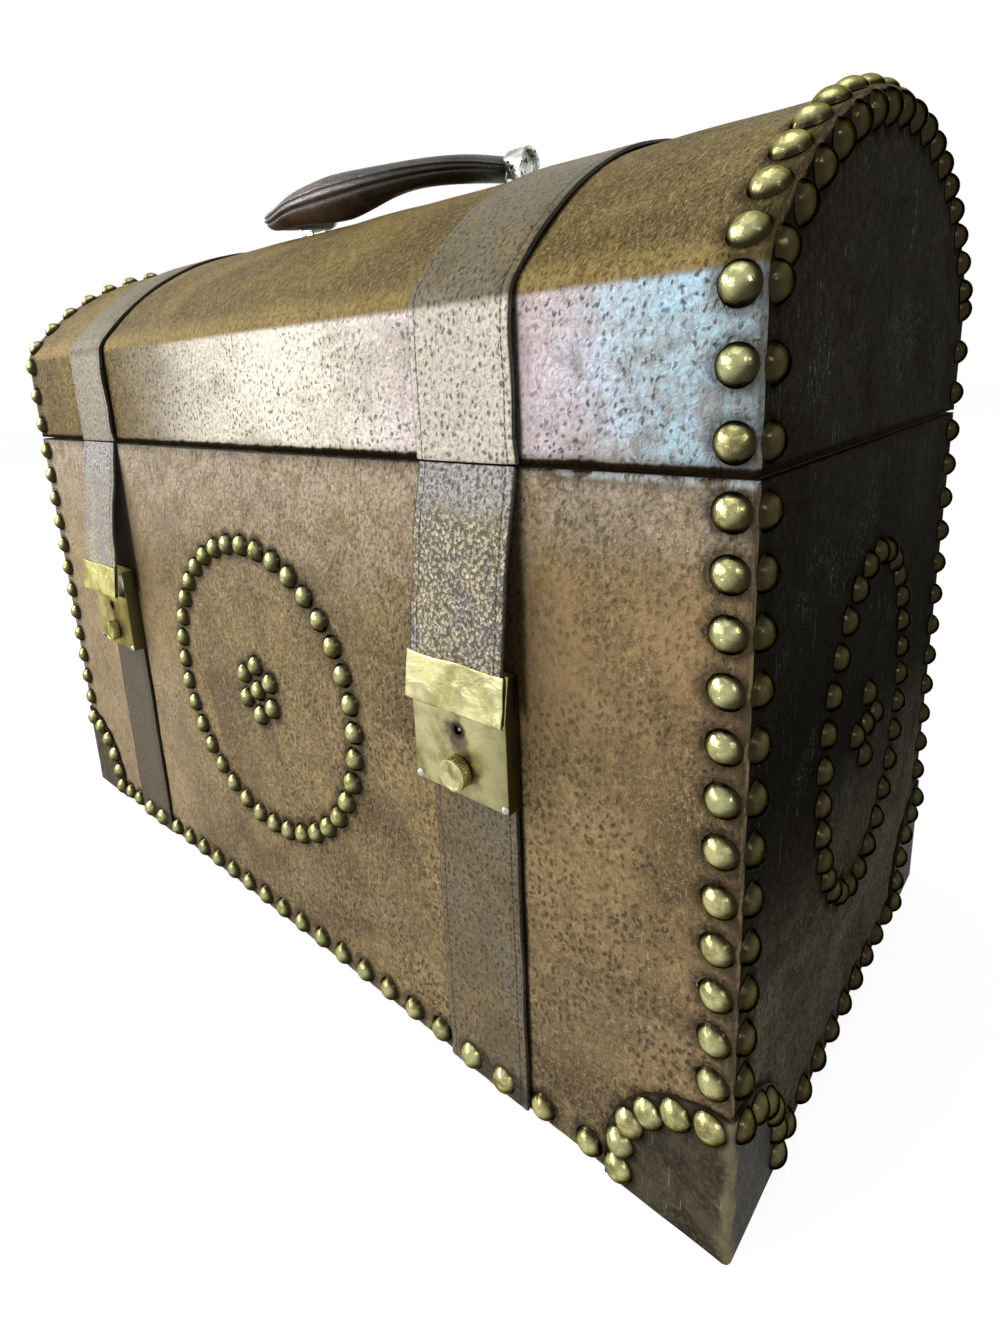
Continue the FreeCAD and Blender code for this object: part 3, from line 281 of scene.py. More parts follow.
def old_hide(name, deep, brown, gold, grey, gloss, shine, painted_sheen=None, pore=1.0, marks=True, zones=False, end_shade_depth=0.0):
    """Waxed hog hide: pits, cloudy colour, grime round the nails, rubbed rims and fine scratches, with painted shade
    at the seam and beside the straps, and a painted sheen on the lid's front wall.
    """
    finish = Finish(name, Specular_IOR_Level=shine)
    sheet, across, height = finish.sheet, finish.x, finish.z
    stud, rim = finish.measure("stud"), finish.measure("rim")
    front = finish.y.step(0.0, -0.1)
    clouds = finish.noise(15.0, 4.0, 0.6, 0.6)
    patches = finish.noise(9.0, 3.0, 0.55, 0.9, (1, 1, 1), 0.6, (3.1, 1.7, 0))
    veil = finish.noise(11.0, 4.0, 0.6, 0.8, (0.7, 1.3, 1), -0.4, (7.3, 4.1, 0))
    blotch = finish.noise(90.0, 4.0, 0.65, 0.6, (1.2, 1, 1), 0.2, (1.9, 8.2, 0))
    fine = finish.noise(560.0, 4.0, 0.7, 0.4)
    speckle = finish.noise(1250.0, 2.0, 0.6, 1.2, (1.3, 1, 1), 0.5)
    finish.colour = finish.blend(clouds.step(0.32, 0.66), deep, brown)
    finish.paint(patches.step(0.44, 0.66, 0.0, 0.85), gold)
    finish.paint(veil.step(0.5, 0.72, 0.0, 0.55), grey)
    finish.paint(blotch.step(0.36, 0.64, 0.42, 0.0), deep)
    mottle = finish.noise(270.0, 3.0, 0.65, 0.7, (1.15, 1, 1), 0.8, (2.6, 5.3, 0))
    finish.paint(mottle.step(0.34, 0.56, 0.5, 0.0), deep)
    finish.paint(mottle.step(0.52, 0.7, 0.0, 0.35), toned(gold, 1.25))
    finish.paint(fine.step(0.32, 0.62, 0.78, 0.0), deep)
    # Lighter gold flecks: partly the hide's own flecks, partly painted glints.
    finish.paint(speckle.step(0.52, 0.72, 0.0, 0.62), toned(gold, 1.25))
    if zones:
        # A painted pale sheen in blotches over the top of the base's front, reaching less far down at the far right.
        upper_sheen_from = across.step(0.16, 0.175, seam - 0.075, seam - 0.038)
        upper_sheen = front * height.step(upper_sheen_from, seam - 0.004) * blotch.step(0.3, 0.62, 0.18, 0.62)
        finish.paint(upper_sheen * fine.step(0.3, 0.62, 0.35, 1.0), (0.52, 0.445, 0.365))
        low_left = across.step(-0.05, -0.19) * height.step(0.15, 0.05)
        finish.paint(low_left * 0.35, (0.09, 0.074, 0.043))
        far_left = front * across.step(-0.07, -0.115, 0.0, 0.45) * height.step(0.235, 0.19, 0.25, 1.0)
        finish.paint(far_left * blotch.step(0.3, 0.6, 0.55, 1.0), (0.41, 0.295, 0.165))
        amber = across.step(0.13, 0.18) * height.step(0.236, 0.208) * height.step(0.02, 0.07)
        amber *= height.step(0.13, 0.17, 0.45, 1.0) * patches.step(0.34, 0.56, 0.25, 0.85)
        finish.paint(amber * blotch.step(0.3, 0.55, 0.55, 1.0), (0.305, 0.198, 0.092))
    # Painted shade on the trunk's ends: the hide darkens from 6 cm up to 15 cm above the floor and lightens a little
    # again towards 30 cm.
    if end_shade_depth:
        end_shade = height.step(0.06, 0.15, 0.0, end_shade_depth) - height.step(0.16, 0.3, 0.0, 0.2)
        finish.paint(end_shade, toned(deep, 0.12))
    roughness = fine.step(0.3, 0.75, gloss, gloss + 0.16)
    sheen = shine
    # A painted sheen on the lid's front wall: cream at the left, then mauve, then pale blue at the right, with brown
    # clouds in it on the right. The wall is also made smoother and shinier.
    if painted_sheen:
        ragged = height + blotch * (5 * MM)
        wall = height.step(break_z + 2.4 * MM, break_z - 0.4 * MM) * front
        wall *= ragged.step(lid_low + 3.2 * MM, lid_low + 5.4 * MM)
        cloudy = finish.noise(22.0, 4.0, 0.65, 0.0, (0.8, 1.2, 1), 0.2, (2, 9, 0))
        left = across.step(-0.13, 0.05)
        cover = wall * left * cloudy.step(0.3, 0.6, 0.55, 0.98)
        tint = finish.blend(across.step(0.05, 0.17), painted_sheen[0], painted_sheen[1])
        tint = finish.blend((across + cloudy * 0.05).step(0.198, 0.242), tint, painted_sheen[2])
        tint = finish.blend(fine.step(0.34, 0.6, 0.62, 0.0), tint, toned(painted_sheen[1], 0.5))
        dark = across.step(0.15, 0.2) * blotch.step(0.42, 0.7, 0.0, 0.75)
        dark *= height.step(break_z - 4 * MM, break_z - 22 * MM, 0.35, 1.0)
        tint = finish.blend(dark, tint, (0.17, 0.145, 0.13))
        finish.paint(cover, tint)
        roughness -= wall * 0.14
        sheen = (wall * left).step(0.0, 1.0, shine, 0.55)
    size = 0.8 if painted_sheen else 1.12
    pits = pores(finish, sheet, 2.8 * MM, size * MM, soft=0.1)
    far = pores(finish, finish.stretched(sheet, (1, 1, 1), 0.9, (5.2, 2.9, 0)), 4.2 * MM, size * 1.15 * MM, 0.3, 0.1)
    pit = pits.at_least(far)
    pit *= finish.noise(34.0, 2.0).step(0.28, 0.6, 0.3, 1.0) * pore
    if painted_sheen:
        stain = pit * wall.step(0.0, 1.0, 0.3, 0.95)
        golden = height.step(break_z + 13 * MM, break_z + 4 * MM) * (1.0 - wall)
        golden *= height.step(lid_low + 12 * MM, lid_low + 20 * MM)
        finish.paint(golden * fine.step(0.36, 0.62, 0.25, 0.85), (0.315, 0.22, 0.078))
        hairs = finish.noise(210.0, 4.0, 0.65, 0.8, (9.0, 1.6, 1), 0.5, (3, 1, 0))
        fibres = hairs.step(0.54, 0.68) * (1.0 - wall)
        finish.paint(fibres * 0.75, (0.37, 0.29, 0.135))
    else:
        shown = across.step(-0.16, 0.06, 0.3, 1.0) * height.step(0.245, 0.12, 0.35, 1.0)
        stain = pit * 0.85 * shown
    finish.paint(stain, toned(deep, 0.42))
    grime = stud.step(10.0 * MM, 5.8 * MM, 0.0, 0.86)
    finish.paint(grime * finish.noise(260.0, 2.0).step(0.25, 0.6, 0.45, 1.0), toned(deep, 0.3))
    scratch = finish.noise(55.0, 3.0, 0.6, 0.5, (22, 1.0, 1), 0.7)
    cross = finish.noise(42.0, 3.0, 0.6, 0.4, (26, 1.0, 1), -0.9, (4, 2, 0))
    scars = scratch.step(0.715, 0.77).at_least(cross.step(0.72, 0.78))
    few = finish.noise(30.0, 2.0, 0.55, 0.0, (1, 1, 1), 0, (6, 3, 0)).step(0.56, 0.68)
    shreds = finish.noise(520.0, 3.0, 0.6, 1.0, (3.2, 1.0, 1), -0.5, (2, 5, 0))
    specks = shreds.step(0.64, 0.7) * few
    pale = toned(grey, 1.9, 0.02 if end_shade_depth else 0.1)
    finish.paint(scars * 0.32, pale)
    finish.paint(specks * 0.55, pale)
    ragged = rim + finish.noise(190.0, 3.0, 0.7) * (2.4 * MM)
    finish.paint(rim.step(5.5 * MM, 1.5 * MM) * clouds.step(0.3, 0.6, 0.7, 0.35), toned(deep, 0.6))
    finish.paint(rim.step(1.7 * MM, 0.6 * MM, 0.0, 0.62), toned(deep, 0.35))
    worn = ragged.step(2.4 * MM, 1.3 * MM) * blotch.step(0.46, 0.64, 0.05, 0.45)
    finish.paint(worn, toned(gold, 0.95, 0.01))
    # Painted shade in the seam between lid and base: the hide is darkened a few millimetres either side of it.
    over = height + (blotch - 0.5) * (1.6 * MM) - seam
    gap = over.step(3.2 * MM, 2.0 * MM) * over.step(-1.5 * MM, -0.7 * MM)
    finish.paint(gap * 0.94, toned(deep, 0.12))
    if marks:
        # Painted shadow under the strap ends and along the right edges of the straps and bands; there and in the seam
        # the hide also loses most of its shine.
        strap_shadow = beside_straps(finish)
        finish.paint(strap_shadow, toned(deep, 0.12))
        dulled = strap_shadow.at_least(gap).step(0.0, 0.9, 1.0, 0.04)
        # The worn top rim of the base, strongest at the right, with a painted pale bluish highlight on it.
        lip = height.step(seam - 3.4 * MM, seam - 1.2 * MM) * height.step(seam + 0.3 * MM, seam - 0.1 * MM)
        lip *= across.step(0.165, 0.195, 0.12, 1.0) * blotch.step(0.4, 0.58)
        finish.paint(lip * 0.7, (0.44, 0.48, 0.47))
        finish.feed(finish.shader.inputs["Specular IOR Level"], dulled * sheen)
    finish.raise_by(fine, 0.46)
    finish.raise_by(finish.noise(330.0, 3.0, 0.6, 0.8), 0.7)
    finish.raise_by(finish.noise(120.0, 2.0, 0.5, 0.5), 0.7)
    finish.raise_by(pit, -0.6)
    finish.raise_by(scars, -0.04)
    return finish.done(roughness)


def strap_leather(name, deep, brown, gold, grey, pale=None, pebbled=False, shaded=0.0):
    """Strap leather with a stitched line beside each edge, pits or a pebbled grain, and a burnished edge."""
    finish = Finish(name, Specular_IOR_Level=0.12)
    sheet, height = finish.sheet, finish.z
    stud, rim = finish.measure("stud"), finish.measure("rim")
    clouds = finish.noise(36.0, 4.0, 0.65, 0.5)
    veil = finish.noise(24.0, 3.0, 0.6, 0.5, (1.4, 0.8, 1), 0.3, (3, 8, 0))
    fine = finish.noise(620.0, 4.0, 0.7, 0.6)
    finish.colour = finish.blend(clouds.step(0.34, 0.64), brown, gold)
    finish.paint(veil.step(0.42, 0.64, 0.0, 0.85), grey)
    finish.paint(fine.step(0.34, 0.62, 0.75, 0.0), deep)
    if shaded:
        finish.paint(finish.x.step(0.0, -0.12, 0.0, shaded), deep)
    pit = pores(finish, sheet, 2.6 * MM, 0.8 * MM, soft=0.25)
    # A painted pale sheen on the strap where it runs down the lid's front wall, weaker on the left strap.
    if pale is not None:
        wall = height.step(break_z + 2.5 * MM, break_z - 1 * MM) * height.step(seam - 7 * MM, seam + 4 * MM)
        wall *= finish.y.step(0.0, -0.1) * finish.x.step(-0.12, 0.0, 0.35, 1.0)
        finish.paint(wall * fine.step(0.34, 0.58, 0.45, 0.96), pale)
    if pebbled:
        moved = finish.stretched(finish.wandering(sheet, 800.0, 2.0, 0.0021), (1.0, 0.86, 1.0), 0.4)
        bumps = finish.number("TexVoronoi", {"Vector": moved, "Scale": 1 / (1.55 * MM), "Randomness": 1.0},
                              "Distance", voronoi_dimensions="2D")
        below = height.step(seam - 12 * MM, seam - 22 * MM)
        some = (below + 0.2) * finish.x.step(-0.1, 0.1, 0.3, 1.0)
        crease = bumps.step(0.36, 0.66) * some
        tops = bumps.step(0.42, 0.12) * some
        uneven = finish.noise(150.0, 3.0, 0.6, 0.6).step(0.36, 0.62)
        bruise = finish.noise(70.0, 3.0, 0.6, 0.5, (1, 1, 1), 0, (4, 7, 0)).step(0.5, 0.66)
        finish.paint(bruise * 0.62, (0.27, 0.245, 0.275))
        grit = finish.noise(1500.0, 3.0, 0.7, 0.5)
        finish.paint(grit.step(0.34, 0.54, 0.55, 0.0), deep)
        finish.raise_by(grit, 0.22)
        # Painted shade in the hollows between the pebbles and a painted highlight on their tops.
        finish.paint(crease * uneven.step(0.0, 1.0, 0.7, 0.38), toned(deep, 0.9))
        finish.paint(tops * uneven * 0.45, toned(gold, 1.35))
        finish.raise_by(crease, -0.6)
        pit *= below.step(0.0, 1.0, 1.0, 0.15)
        dull = (height + clouds * (14 * MM)).step(seam - 14 * MM, seam - 2 * MM, 0.0, 0.8)
        freckled = finish.blend(fine.step(0.36, 0.6), (0.12, 0.115, 0.11), (0.44, 0.43, 0.425))
        finish.paint(dull, freckled)
    finish.paint(pit * 0.75, toned(deep, 0.5))
    finish.paint(stud.step(8.8 * MM, STUD_FOOT, 0.0, 0.7), toned(deep, 0.3))
    stitch = finish.math("SINE", finish.split(sheet)[1] * (2 * math.pi / (2.6 * MM)))
    stitched = abs(rim - STITCH_INSET).step(0.42 * MM, 0.18 * MM) * stitch.step(-0.75, 0.1, 0.35, 1.0)
    finish.paint(stitched * 0.8, toned(deep, 0.22))
    finish.paint(rim.step(1.1 * MM, 0.3 * MM) * 0.9, toned(deep, 0.16))
    finish.raise_by(fine, 0.34)
    finish.raise_by(pit, -0.4)
    finish.raise_by(stitched, -0.28)
    return finish.done(fine.step(0.3, 0.7, 0.36, 0.55))


def patch_leather():
    """Dark corner leather, rubbed to its pale core along the corner."""
    finish = Finish("patch leather", Specular_IOR_Level=0.03)
    stud, rim = finish.measure("stud"), finish.measure("rim")
    clouds = finish.noise(60.0, 4.0, 0.65, 0.6)
    fine = finish.noise(480.0, 4.0, 0.7, 0.5)
    finish.colour = finish.blend(clouds.step(0.32, 0.66), (0.026, 0.021, 0.012), (0.07, 0.06, 0.036))
    finish.paint(fine.step(0.5, 0.72, 0.0, 0.6), (0.14, 0.12, 0.075))
    off_end = half_x - abs(finish.x)
    near = abs(off_end) + abs(half_y - abs(finish.y)) + finish.noise(150.0, 4.0, 0.75) * (9 * MM)
    finish.paint(near.step(9.6 * MM, 4.2 * MM) * 0.7, (0.26, 0.205, 0.115))
    scratch = finish.noise(60.0, 3.0, 0.65, 0.4, (20, 1.0, 1), 0.45)
    scars = scratch.step(0.66, 0.75)
    finish.paint(scars * 0.6, (0.34, 0.29, 0.19))
    finish.paint(stud.step(8.5 * MM, STUD_FOOT, 0.0, 0.65), (0.008, 0.006, 0.004))
    finish.paint(rim.step(1.2 * MM, 0.2 * MM, 0.0, 0.7), (0.015, 0.011, 0.007))
    # Painted shade on the patches where they lie on the trunk's ends, away from the corner.
    side = (abs(finish.x) - half_x).step(0.5 * MM, 1.0 * MM, 0.0, 0.7)
    finish.paint(side * near.step(6 * MM, 14 * MM), (0.022, 0.02, 0.013))
    finish.raise_by(fine, 0.35)
    finish.raise_by(scars, -0.15)
    finish.raise_by(finish.noise(130.0, 3.0, 0.6), 0.6)
    return finish.done(fine.step(0.3, 0.7, 0.42, 0.62))


def grip_leather():
    finish = Finish("grip leather", Specular_IOR_Level=0.4)
    clouds = finish.noise(55.0, 4.0, 0.6, 0.4)
    crease = finish.noise(420.0, 4.0, 0.65, 0.8, (0.35, 1.6, 1))
    finish.colour = finish.blend(clouds.step(0.32, 0.68), (0.014, 0.006, 0.0045), (0.062, 0.027, 0.018))
    finish.paint(crease.step(0.55, 0.78, 0.0, 0.5), (0.1, 0.05, 0.032))
    # Painted shade over the right part of the grip.
    finish.paint(finish.x.step(4 * MM, 52 * MM, 0.0, 0.82), (0.008, 0.0075, 0.005))
    finish.paint(finish.measure("seam").step(0.35, 0.9) * 0.75, (0.006, 0.003, 0.002))
    finish.raise_by(crease, 0.22)
    finish.raise_by(finish.noise(1100.0, 2.0, 0.6), 0.07)
    return finish.done(crease.step(0.3, 0.7, 0.24, 0.44))


def stud_brass():
    """Old brass heads: bright on the crown and olive on the flanks, with painted shade on their lower right sides, low
    down where they meet the hide, and on the trunk's ends.
    """
    finish = Finish("stud brass", True, Metallic=1.0)
    x, y, z = finish.x, finish.y, finish.z
    off_wall = abs(y) - half_y
    off_end = abs(x) - half_x
    up = (z - dome_centre).at_least(0.0)
    off_dome = finish.math("SQRT", up * up + y * y) - DOME_RADIUS
    height = off_wall.at_least(off_end).at_least(off_dome)
    rubbed = finish.noise(240.0, 4.0, 0.65, 0.6)
    spots = finish.noise(900.0, 3.0, 0.7, 0.3)
    each = finish.noise(48.0, 1.0, 0.5)
    finish.colour = finish.blend(rubbed.step(0.34, 0.62), (0.2, 0.18, 0.072), (0.5, 0.465, 0.215))
    finish.paint(each.step(0.42, 0.6, 0.0, 0.55), (0.4, 0.42, 0.22))
    finish.paint(spots.step(0.6, 0.75, 0.0, 0.55), (0.12, 0.1, 0.05))
    # Painted shade on the lower right side of each head.
    facing = finish.put("NewGeometry", {}).outputs["Normal"]
    under = finish.number("VectorMath", {0: facing, 1: (0.66, 0.12, -0.74)}, "Value", operation="DOT_PRODUCT")
    finish.paint(under.step(-0.14, 0.5, 0.0, 0.93), (0.026, 0.021, 0.01))
    # Painted shade on the studs of the trunk's ends, deeper towards the back, and their reflections darkened with it.
    shady = off_end.step(0.0, 0.8 * MM)
    finish.paint(shady * 0.84, (0.04, 0.034, 0.015))
    finish.paint(shady * y.step(-0.1, 0.02, 0.0, 0.55), (0.012, 0.009, 0.005))
    sheen = finish.blend(shady, (0.42, 0.38, 0.25), (0.07, 0.058, 0.03))
    finish.feed(finish.shader.inputs["Specular Tint"], sheen)
    # Painted shade low on each head, where it meets the hide.
    finish.paint(height.step(3.1 * MM, 0.8 * MM), (0.022, 0.018, 0.009))
    finish.raise_by(rubbed, 0.3)
    finish.raise_by(finish.noise(90.0, 2.0, 0.5), 1.1)
    return finish.done(rubbed.step(0.3, 0.7, 0.3, 0.17))


def worn_metal(name, dark, bright, spot, rough, size=60.0, pitted=0.0, beaten=0.0, smeared=False):
    """Old sheet metal, cloudy and spotted; on the lock cases also smeared, with a dark ring round each keyhole and
    painted shade on the right.
    """
    finish = Finish(name, True, Metallic=1.0, Specular_Tint=(*bright, 1))
    clouds = finish.noise(size, 4.0, 0.6, 0.5)
    fine = finish.noise(900.0, 3.0, 0.7, 0.2)
    rubs = finish.noise(380.0, 3.0, 0.6, 0.0, (1, 1, 9))
    finish.colour = finish.blend(clouds.step(0.34, 0.64), dark, bright)
    finish.paint(fine.step(0.58, 0.76, 0.0, 0.55), spot)
    holes = finish.number("TexVoronoi", {"Vector": finish.sheet, "Scale": 420.0, "Randomness": 1.0}, "Distance")
    pits = holes.step(0.4, 0.22) * finish.noise(170.0, 2.0, 0.6).step(0.46, 0.6) * pitted
    finish.paint(pits, toned(spot, 0.12))
    if beaten:
        dents = finish.noise(120.0, 3.0, 0.5, 0.8, (0.8, 1.0, 1.5))
        finish.raise_by(dents, 1.3 * beaten)
        finish.paint(dents.step(0.5, 0.74, 0.0, 0.5), spot)
    if smeared:
        ragged = finish.noise(160.0, 3.0, 0.6, 0.6)
        for side in SIDES:
            low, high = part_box(side + "_lock_case")
            middle, keyhole = (low.x + high.x) / 2, low.z + 25 * MM
            x, beside, above = finish.x, finish.x - middle, finish.z - keyhole
            off = abs(beside + above * 0.38 + MM) + ragged * (11 * MM)
            smear = off.step(11.5 * MM, 8.0 * MM) * above.step(3.5 * MM, MM) * above.step(-23 * MM, -15 * MM)
            finish.paint(smear * 0.8, (0.085, 0.07, 0.072))
            # A dark ring round each keyhole: grime, and painted shade that makes the hole look wider.
            hole = finish.math("SQRT", beside * beside + above * above)
            finish.paint(hole.step(4.2 * MM, 2.4 * MM, 0.0, 0.9), (0.04, 0.028, 0.02))
            # Painted shade on the right side face of each case and over its right half.
            shaded_side = x.step(high.x - 0.45 * MM, high.x - 0.1 * MM) * x.step(high.x + 2 * MM, high.x + MM)
            finish.paint(shaded_side * 0.88, (0.042, 0.034, 0.02))
            shade = x.step(middle + 3 * MM, high.x) * x.step(high.x + 2 * MM, high.x + MM)
            finish.paint(shade * 0.48, toned(dark, 0.45))
    finish.raise_by(rubs, 0.06)
    finish.raise_by(clouds, 0.55)
    finish.raise_by(pits, -0.4)
    return finish.done(clouds.step(0.3, 0.7, rough + 0.14, rough))


def sawn_board():
    finish = Finish("sawn board", True, Specular_IOR_Level=0.3)
    grain = finish.noise(26.0, 5.0, 0.6, 0.8, (1.0, 9.0, 9.0))
    fibre = finish.noise(60.0, 2.0, 0.6, 0.0, (1.0, 30.0, 30.0))
    finish.colour = finish.blend(grain.step(0.34, 0.66), (0.3, 0.18, 0.085), (0.55, 0.37, 0.19))
    finish.paint(fibre.step(0.52, 0.75, 0.0, 0.4), (0.24, 0.14, 0.07))
    # Painted shade on the boards' outer edges at the seam, where they show through the gap.
    inside = (half_x - abs(finish.x)).at_most(half_y - abs(finish.y))
    seam_shade = inside.step(5.0 * MM, 3.0 * MM) * abs(finish.z - seam).step(4 * MM, 2 * MM)
    finish.paint(seam_shade * 0.94, (0.02, 0.013, 0.008))
    finish.raise_by(fibre, 0.1)
    return finish.done(grain.step(0.3, 0.7, 0.72, 0.58))


def lining_cloth():
    finish = Finish("lining cloth", Specular_IOR_Level=0.15, Sheen_Weight=0.2)
    thread = 2 * math.pi / (0.9 * MM)
    weft, warp = (finish.math("SINE", part * thread) for part in finish.split(finish.sheet)[:2])
    stains = finish.noise(7.0, 5.0, 0.62, 0.1)
    slub = finish.noise(160.0, 3.0, 0.55, 0.0, (1, 12, 1))
    finish.colour = finish.blend(stains.step(0.36, 0.68), (0.44, 0.365, 0.245), (0.55, 0.47, 0.335))
    finish.paint(slub.step(0.5, 0.75, 0.0, 0.35), (0.34, 0.27, 0.17))
    finish.raise_by(weft * warp, 0.06)
    finish.raise_by(slub, 0.06)
    return finish.done(0.9)


def plain_steel():
    finish = Finish("plain steel", True, Metallic=1.0)
    clouds = finish.noise(300.0, 3.0, 0.6, 0.3)
    finish.colour = finish.blend(clouds.step(0.35, 0.65), (0.3, 0.29, 0.27), (0.56, 0.55, 0.52))
    finish.raise_by(clouds, 0.05)
    return finish.done(clouds.step(0.3, 0.7, 0.45, 0.28))


# Colours of the painted sheen on the lid's front wall, from left to right.
painted_sheen = ((0.98, 0.9, 0.72), (0.68, 0.555, 0.6), (0.44, 0.72, 0.88))
finishes = {
    "base hide": old_hide("base hide", (0.078, 0.05, 0.02), (0.25, 0.174, 0.076), (0.385, 0.28, 0.12),
                          (0.27, 0.215, 0.135), 0.46, 0.16, zones=True),
    "lid hide": old_hide("lid hide", (0.06, 0.043, 0.015), (0.17, 0.123, 0.045), (0.29, 0.205, 0.068),
                         (0.21, 0.18, 0.095), 0.52, 0.05, painted_sheen),
    # The ends' hide is coloured far darker than the front's, as painted shade.
    "shaded end hide": old_hide("shaded end hide", (0.022, 0.016, 0.009), (0.108, 0.097, 0.065), (0.14, 0.128, 0.088),
                         (0.145, 0.148, 0.112), 0.65, 0.004, pore=0.5, marks=False, end_shade_depth=0.945),
    "lid strap": strap_leather("dome strap leather", (0.045, 0.033, 0.016), (0.135, 0.108, 0.054),
                               (0.205, 0.16, 0.078), (0.18, 0.16, 0.105), (0.66, 0.6, 0.52)),
    "strap end": strap_leather("strap end leather", (0.095, 0.076, 0.05), (0.46, 0.395, 0.275), (0.64, 0.565, 0.39),
                               (0.42, 0.4, 0.38), pebbled=True),
    "band": strap_leather("band leather", (0.052, 0.038, 0.02), (0.145, 0.108, 0.056), (0.215, 0.158, 0.078),
                          (0.19, 0.155, 0.105), shaded=0.72),
    "patch": patch_leather(),
    "grip": grip_leather(),
    "stud": stud_brass(),
    "lock brass": worn_metal("lock brass", (0.22, 0.19, 0.09), (0.51, 0.465, 0.26), (0.12, 0.09, 0.05), 0.28,
                             smeared=True),
    "knob brass": worn_metal("knob brass", (0.27, 0.245, 0.11), (0.6, 0.555, 0.29), (0.14, 0.11, 0.06), 0.24, 150.0),
    "hasp brass": worn_metal("hasp brass", (0.34, 0.315, 0.135), (0.7, 0.665, 0.34), (0.24, 0.2, 0.17), 0.26, 70.0,
                             beaten=0.65),
    "nickel": worn_metal("pitted nickel", (0.34, 0.35, 0.3), (0.74, 0.78, 0.72), (0.08, 0.08, 0.06), 0.24, 140.0, 1.0),
    "hinge nickel": worn_metal("worn nickel", (0.2, 0.2, 0.17), (0.5, 0.5, 0.45), (0.16, 0.14, 0.1), 0.3, 90.0, 0.25),
    "steel": plain_steel(),
    "board": sawn_board(),
    "cloth": lining_cloth(),
}


# World and floor ------------------------------------------------------------------------------------------------
def set_world():
    world = bpy.context.scene.world = bpy.data.worlds.new("studio")
    world.use_nodes = True
    world.node_tree.nodes.clear()
    sky = Nodes(world.node_tree)
    soft = sky.put("Background", {"Color": (0.93, 0.96, 1.0, 1), "Strength": 0.42})
    white = sky.put("Background", {"Color": (1, 1, 1, 1), "Strength": 1.0})
    mix = sky.put("MixShader", {"Fac": sky.seen_directly(), 1: soft.outputs[0], 2: white.outputs[0]})
    sky.put("OutputWorld", {"Surface": mix.outputs[0]})


def lay_floor():
    bpy.ops.mesh.primitive_plane_add(size=14, location=(0, 0, -0.2 * MM))
    floor = named("studio_floor")
    finish = Finish("studio floor", True, Specular_IOR_Level=0.0, Roughness=0.9, Base_Color=(0.86, 0.86, 0.85, 1))
    glow = finish.put("Emission", {"Color": (1, 1, 1, 1), "Strength": 1.26})
    mix = finish.put("MixShader", {"Fac": finish.seen_directly() * 0.7, 1: finish.shader.outputs[0],
                                   2: glow.outputs[0]})
    finish.feed(finish.tree.nodes["Material Output"].inputs["Surface"], mix.outputs[0])
    floor.data.materials.append(finish.material)


# Modelling helpers ----------------------------------------------------------------------------------------------
def object_mode():
    if bpy.context.object is not None and bpy.context.object.mode != "OBJECT":
        bpy.ops.object.mode_set(mode="OBJECT")


def only(piece):
    object_mode()
    bpy.ops.object.select_all(action="DESELECT")
    bpy.context.view_layer.objects.active = piece
    piece.select_set(True)


def edit(piece):
    """Goes into edit mode with the whole piece selected."""
    only(piece)
    bpy.ops.object.mode_set(mode="EDIT")
    bpy.ops.mesh.select_all(action="SELECT")


def close_up(merge=0.0):
    """Joins points that touch, turns all faces outwards and leaves edit mode."""
    bpy.ops.mesh.select_all(action="SELECT")
    if merge:
        bpy.ops.mesh.remove_doubles(threshold=merge)
    bpy.ops.mesh.normals_make_consistent(inside=False)
    object_mode()


def named(name, scale=(1, 1, 1)):
    """Names the piece that was just added, and puts its place, turn and size into its mesh."""
    piece = bpy.context.object
    piece.name = piece.data.name = name
    piece.scale = scale
    only(piece)
    bpy.ops.object.transform_apply(location=True, rotation=True, scale=True)
    return piece


def read(group, name, width=1, kind=np.int32):
    """One property of all the vertices, edges, corners or faces."""
    found = np.empty(len(group) * width, kind)
    group.foreach_get(name, found)
    return found.reshape(-1, width) if width > 1 else found


def points_of(piece):
    return read(piece.data.vertices, "co", 3, np.float32).astype(float)


def normals_of(piece):
    return read(piece.data.vertex_normals, "vector", 3, np.float32).astype(float)


def edge_ends(piece):
    return read(piece.data.edges, "vertices", 2)


def set_points(piece, points):
    piece.data.vertices.foreach_set("co", points.astype(np.float32).ravel())
    piece.data.update()


def apply_modifier(piece, kind, **settings):
    only(piece)
    bpy.ops.object.modifier_add(type=kind)
    modifier = piece.modifiers[-1]
    for key, value in settings.items():
        setattr(modifier, key, value)
    bpy.ops.object.modifier_apply(modifier=modifier.name)


def thicken(piece, thickness):
    apply_modifier(piece, "SOLIDIFY", thickness=thickness, offset=-1)


def edge_round(piece, width, segments=3):
    apply_modifier(piece, "BEVEL", width=width, segments=segments, limit_method="ANGLE",
                   angle_limit=math.radians(48), harden_normals=False)


def smooth(piece, angle=40):
    only(piece)
    bpy.ops.object.shade_smooth_by_angle(angle=math.radians(angle))


def pick(piece, kind, chosen):
    """Goes into edit mode with the chosen edges or faces selected."""
    edit(piece)
    bpy.ops.mesh.select_mode(type=kind)
    bpy.ops.mesh.select_all(action="DESELECT")
    object_mode()
    group = {"EDGE": piece.data.edges, "FACE": piece.data.polygons}[kind]
    group.foreach_set("select", np.asarray(chosen, bool))
    bpy.ops.object.mode_set(mode="EDIT")


def edges_where(piece, inside):
    """Edges both of whose ends are inside."""
    return inside[edge_ends(piece)].all(axis=1)


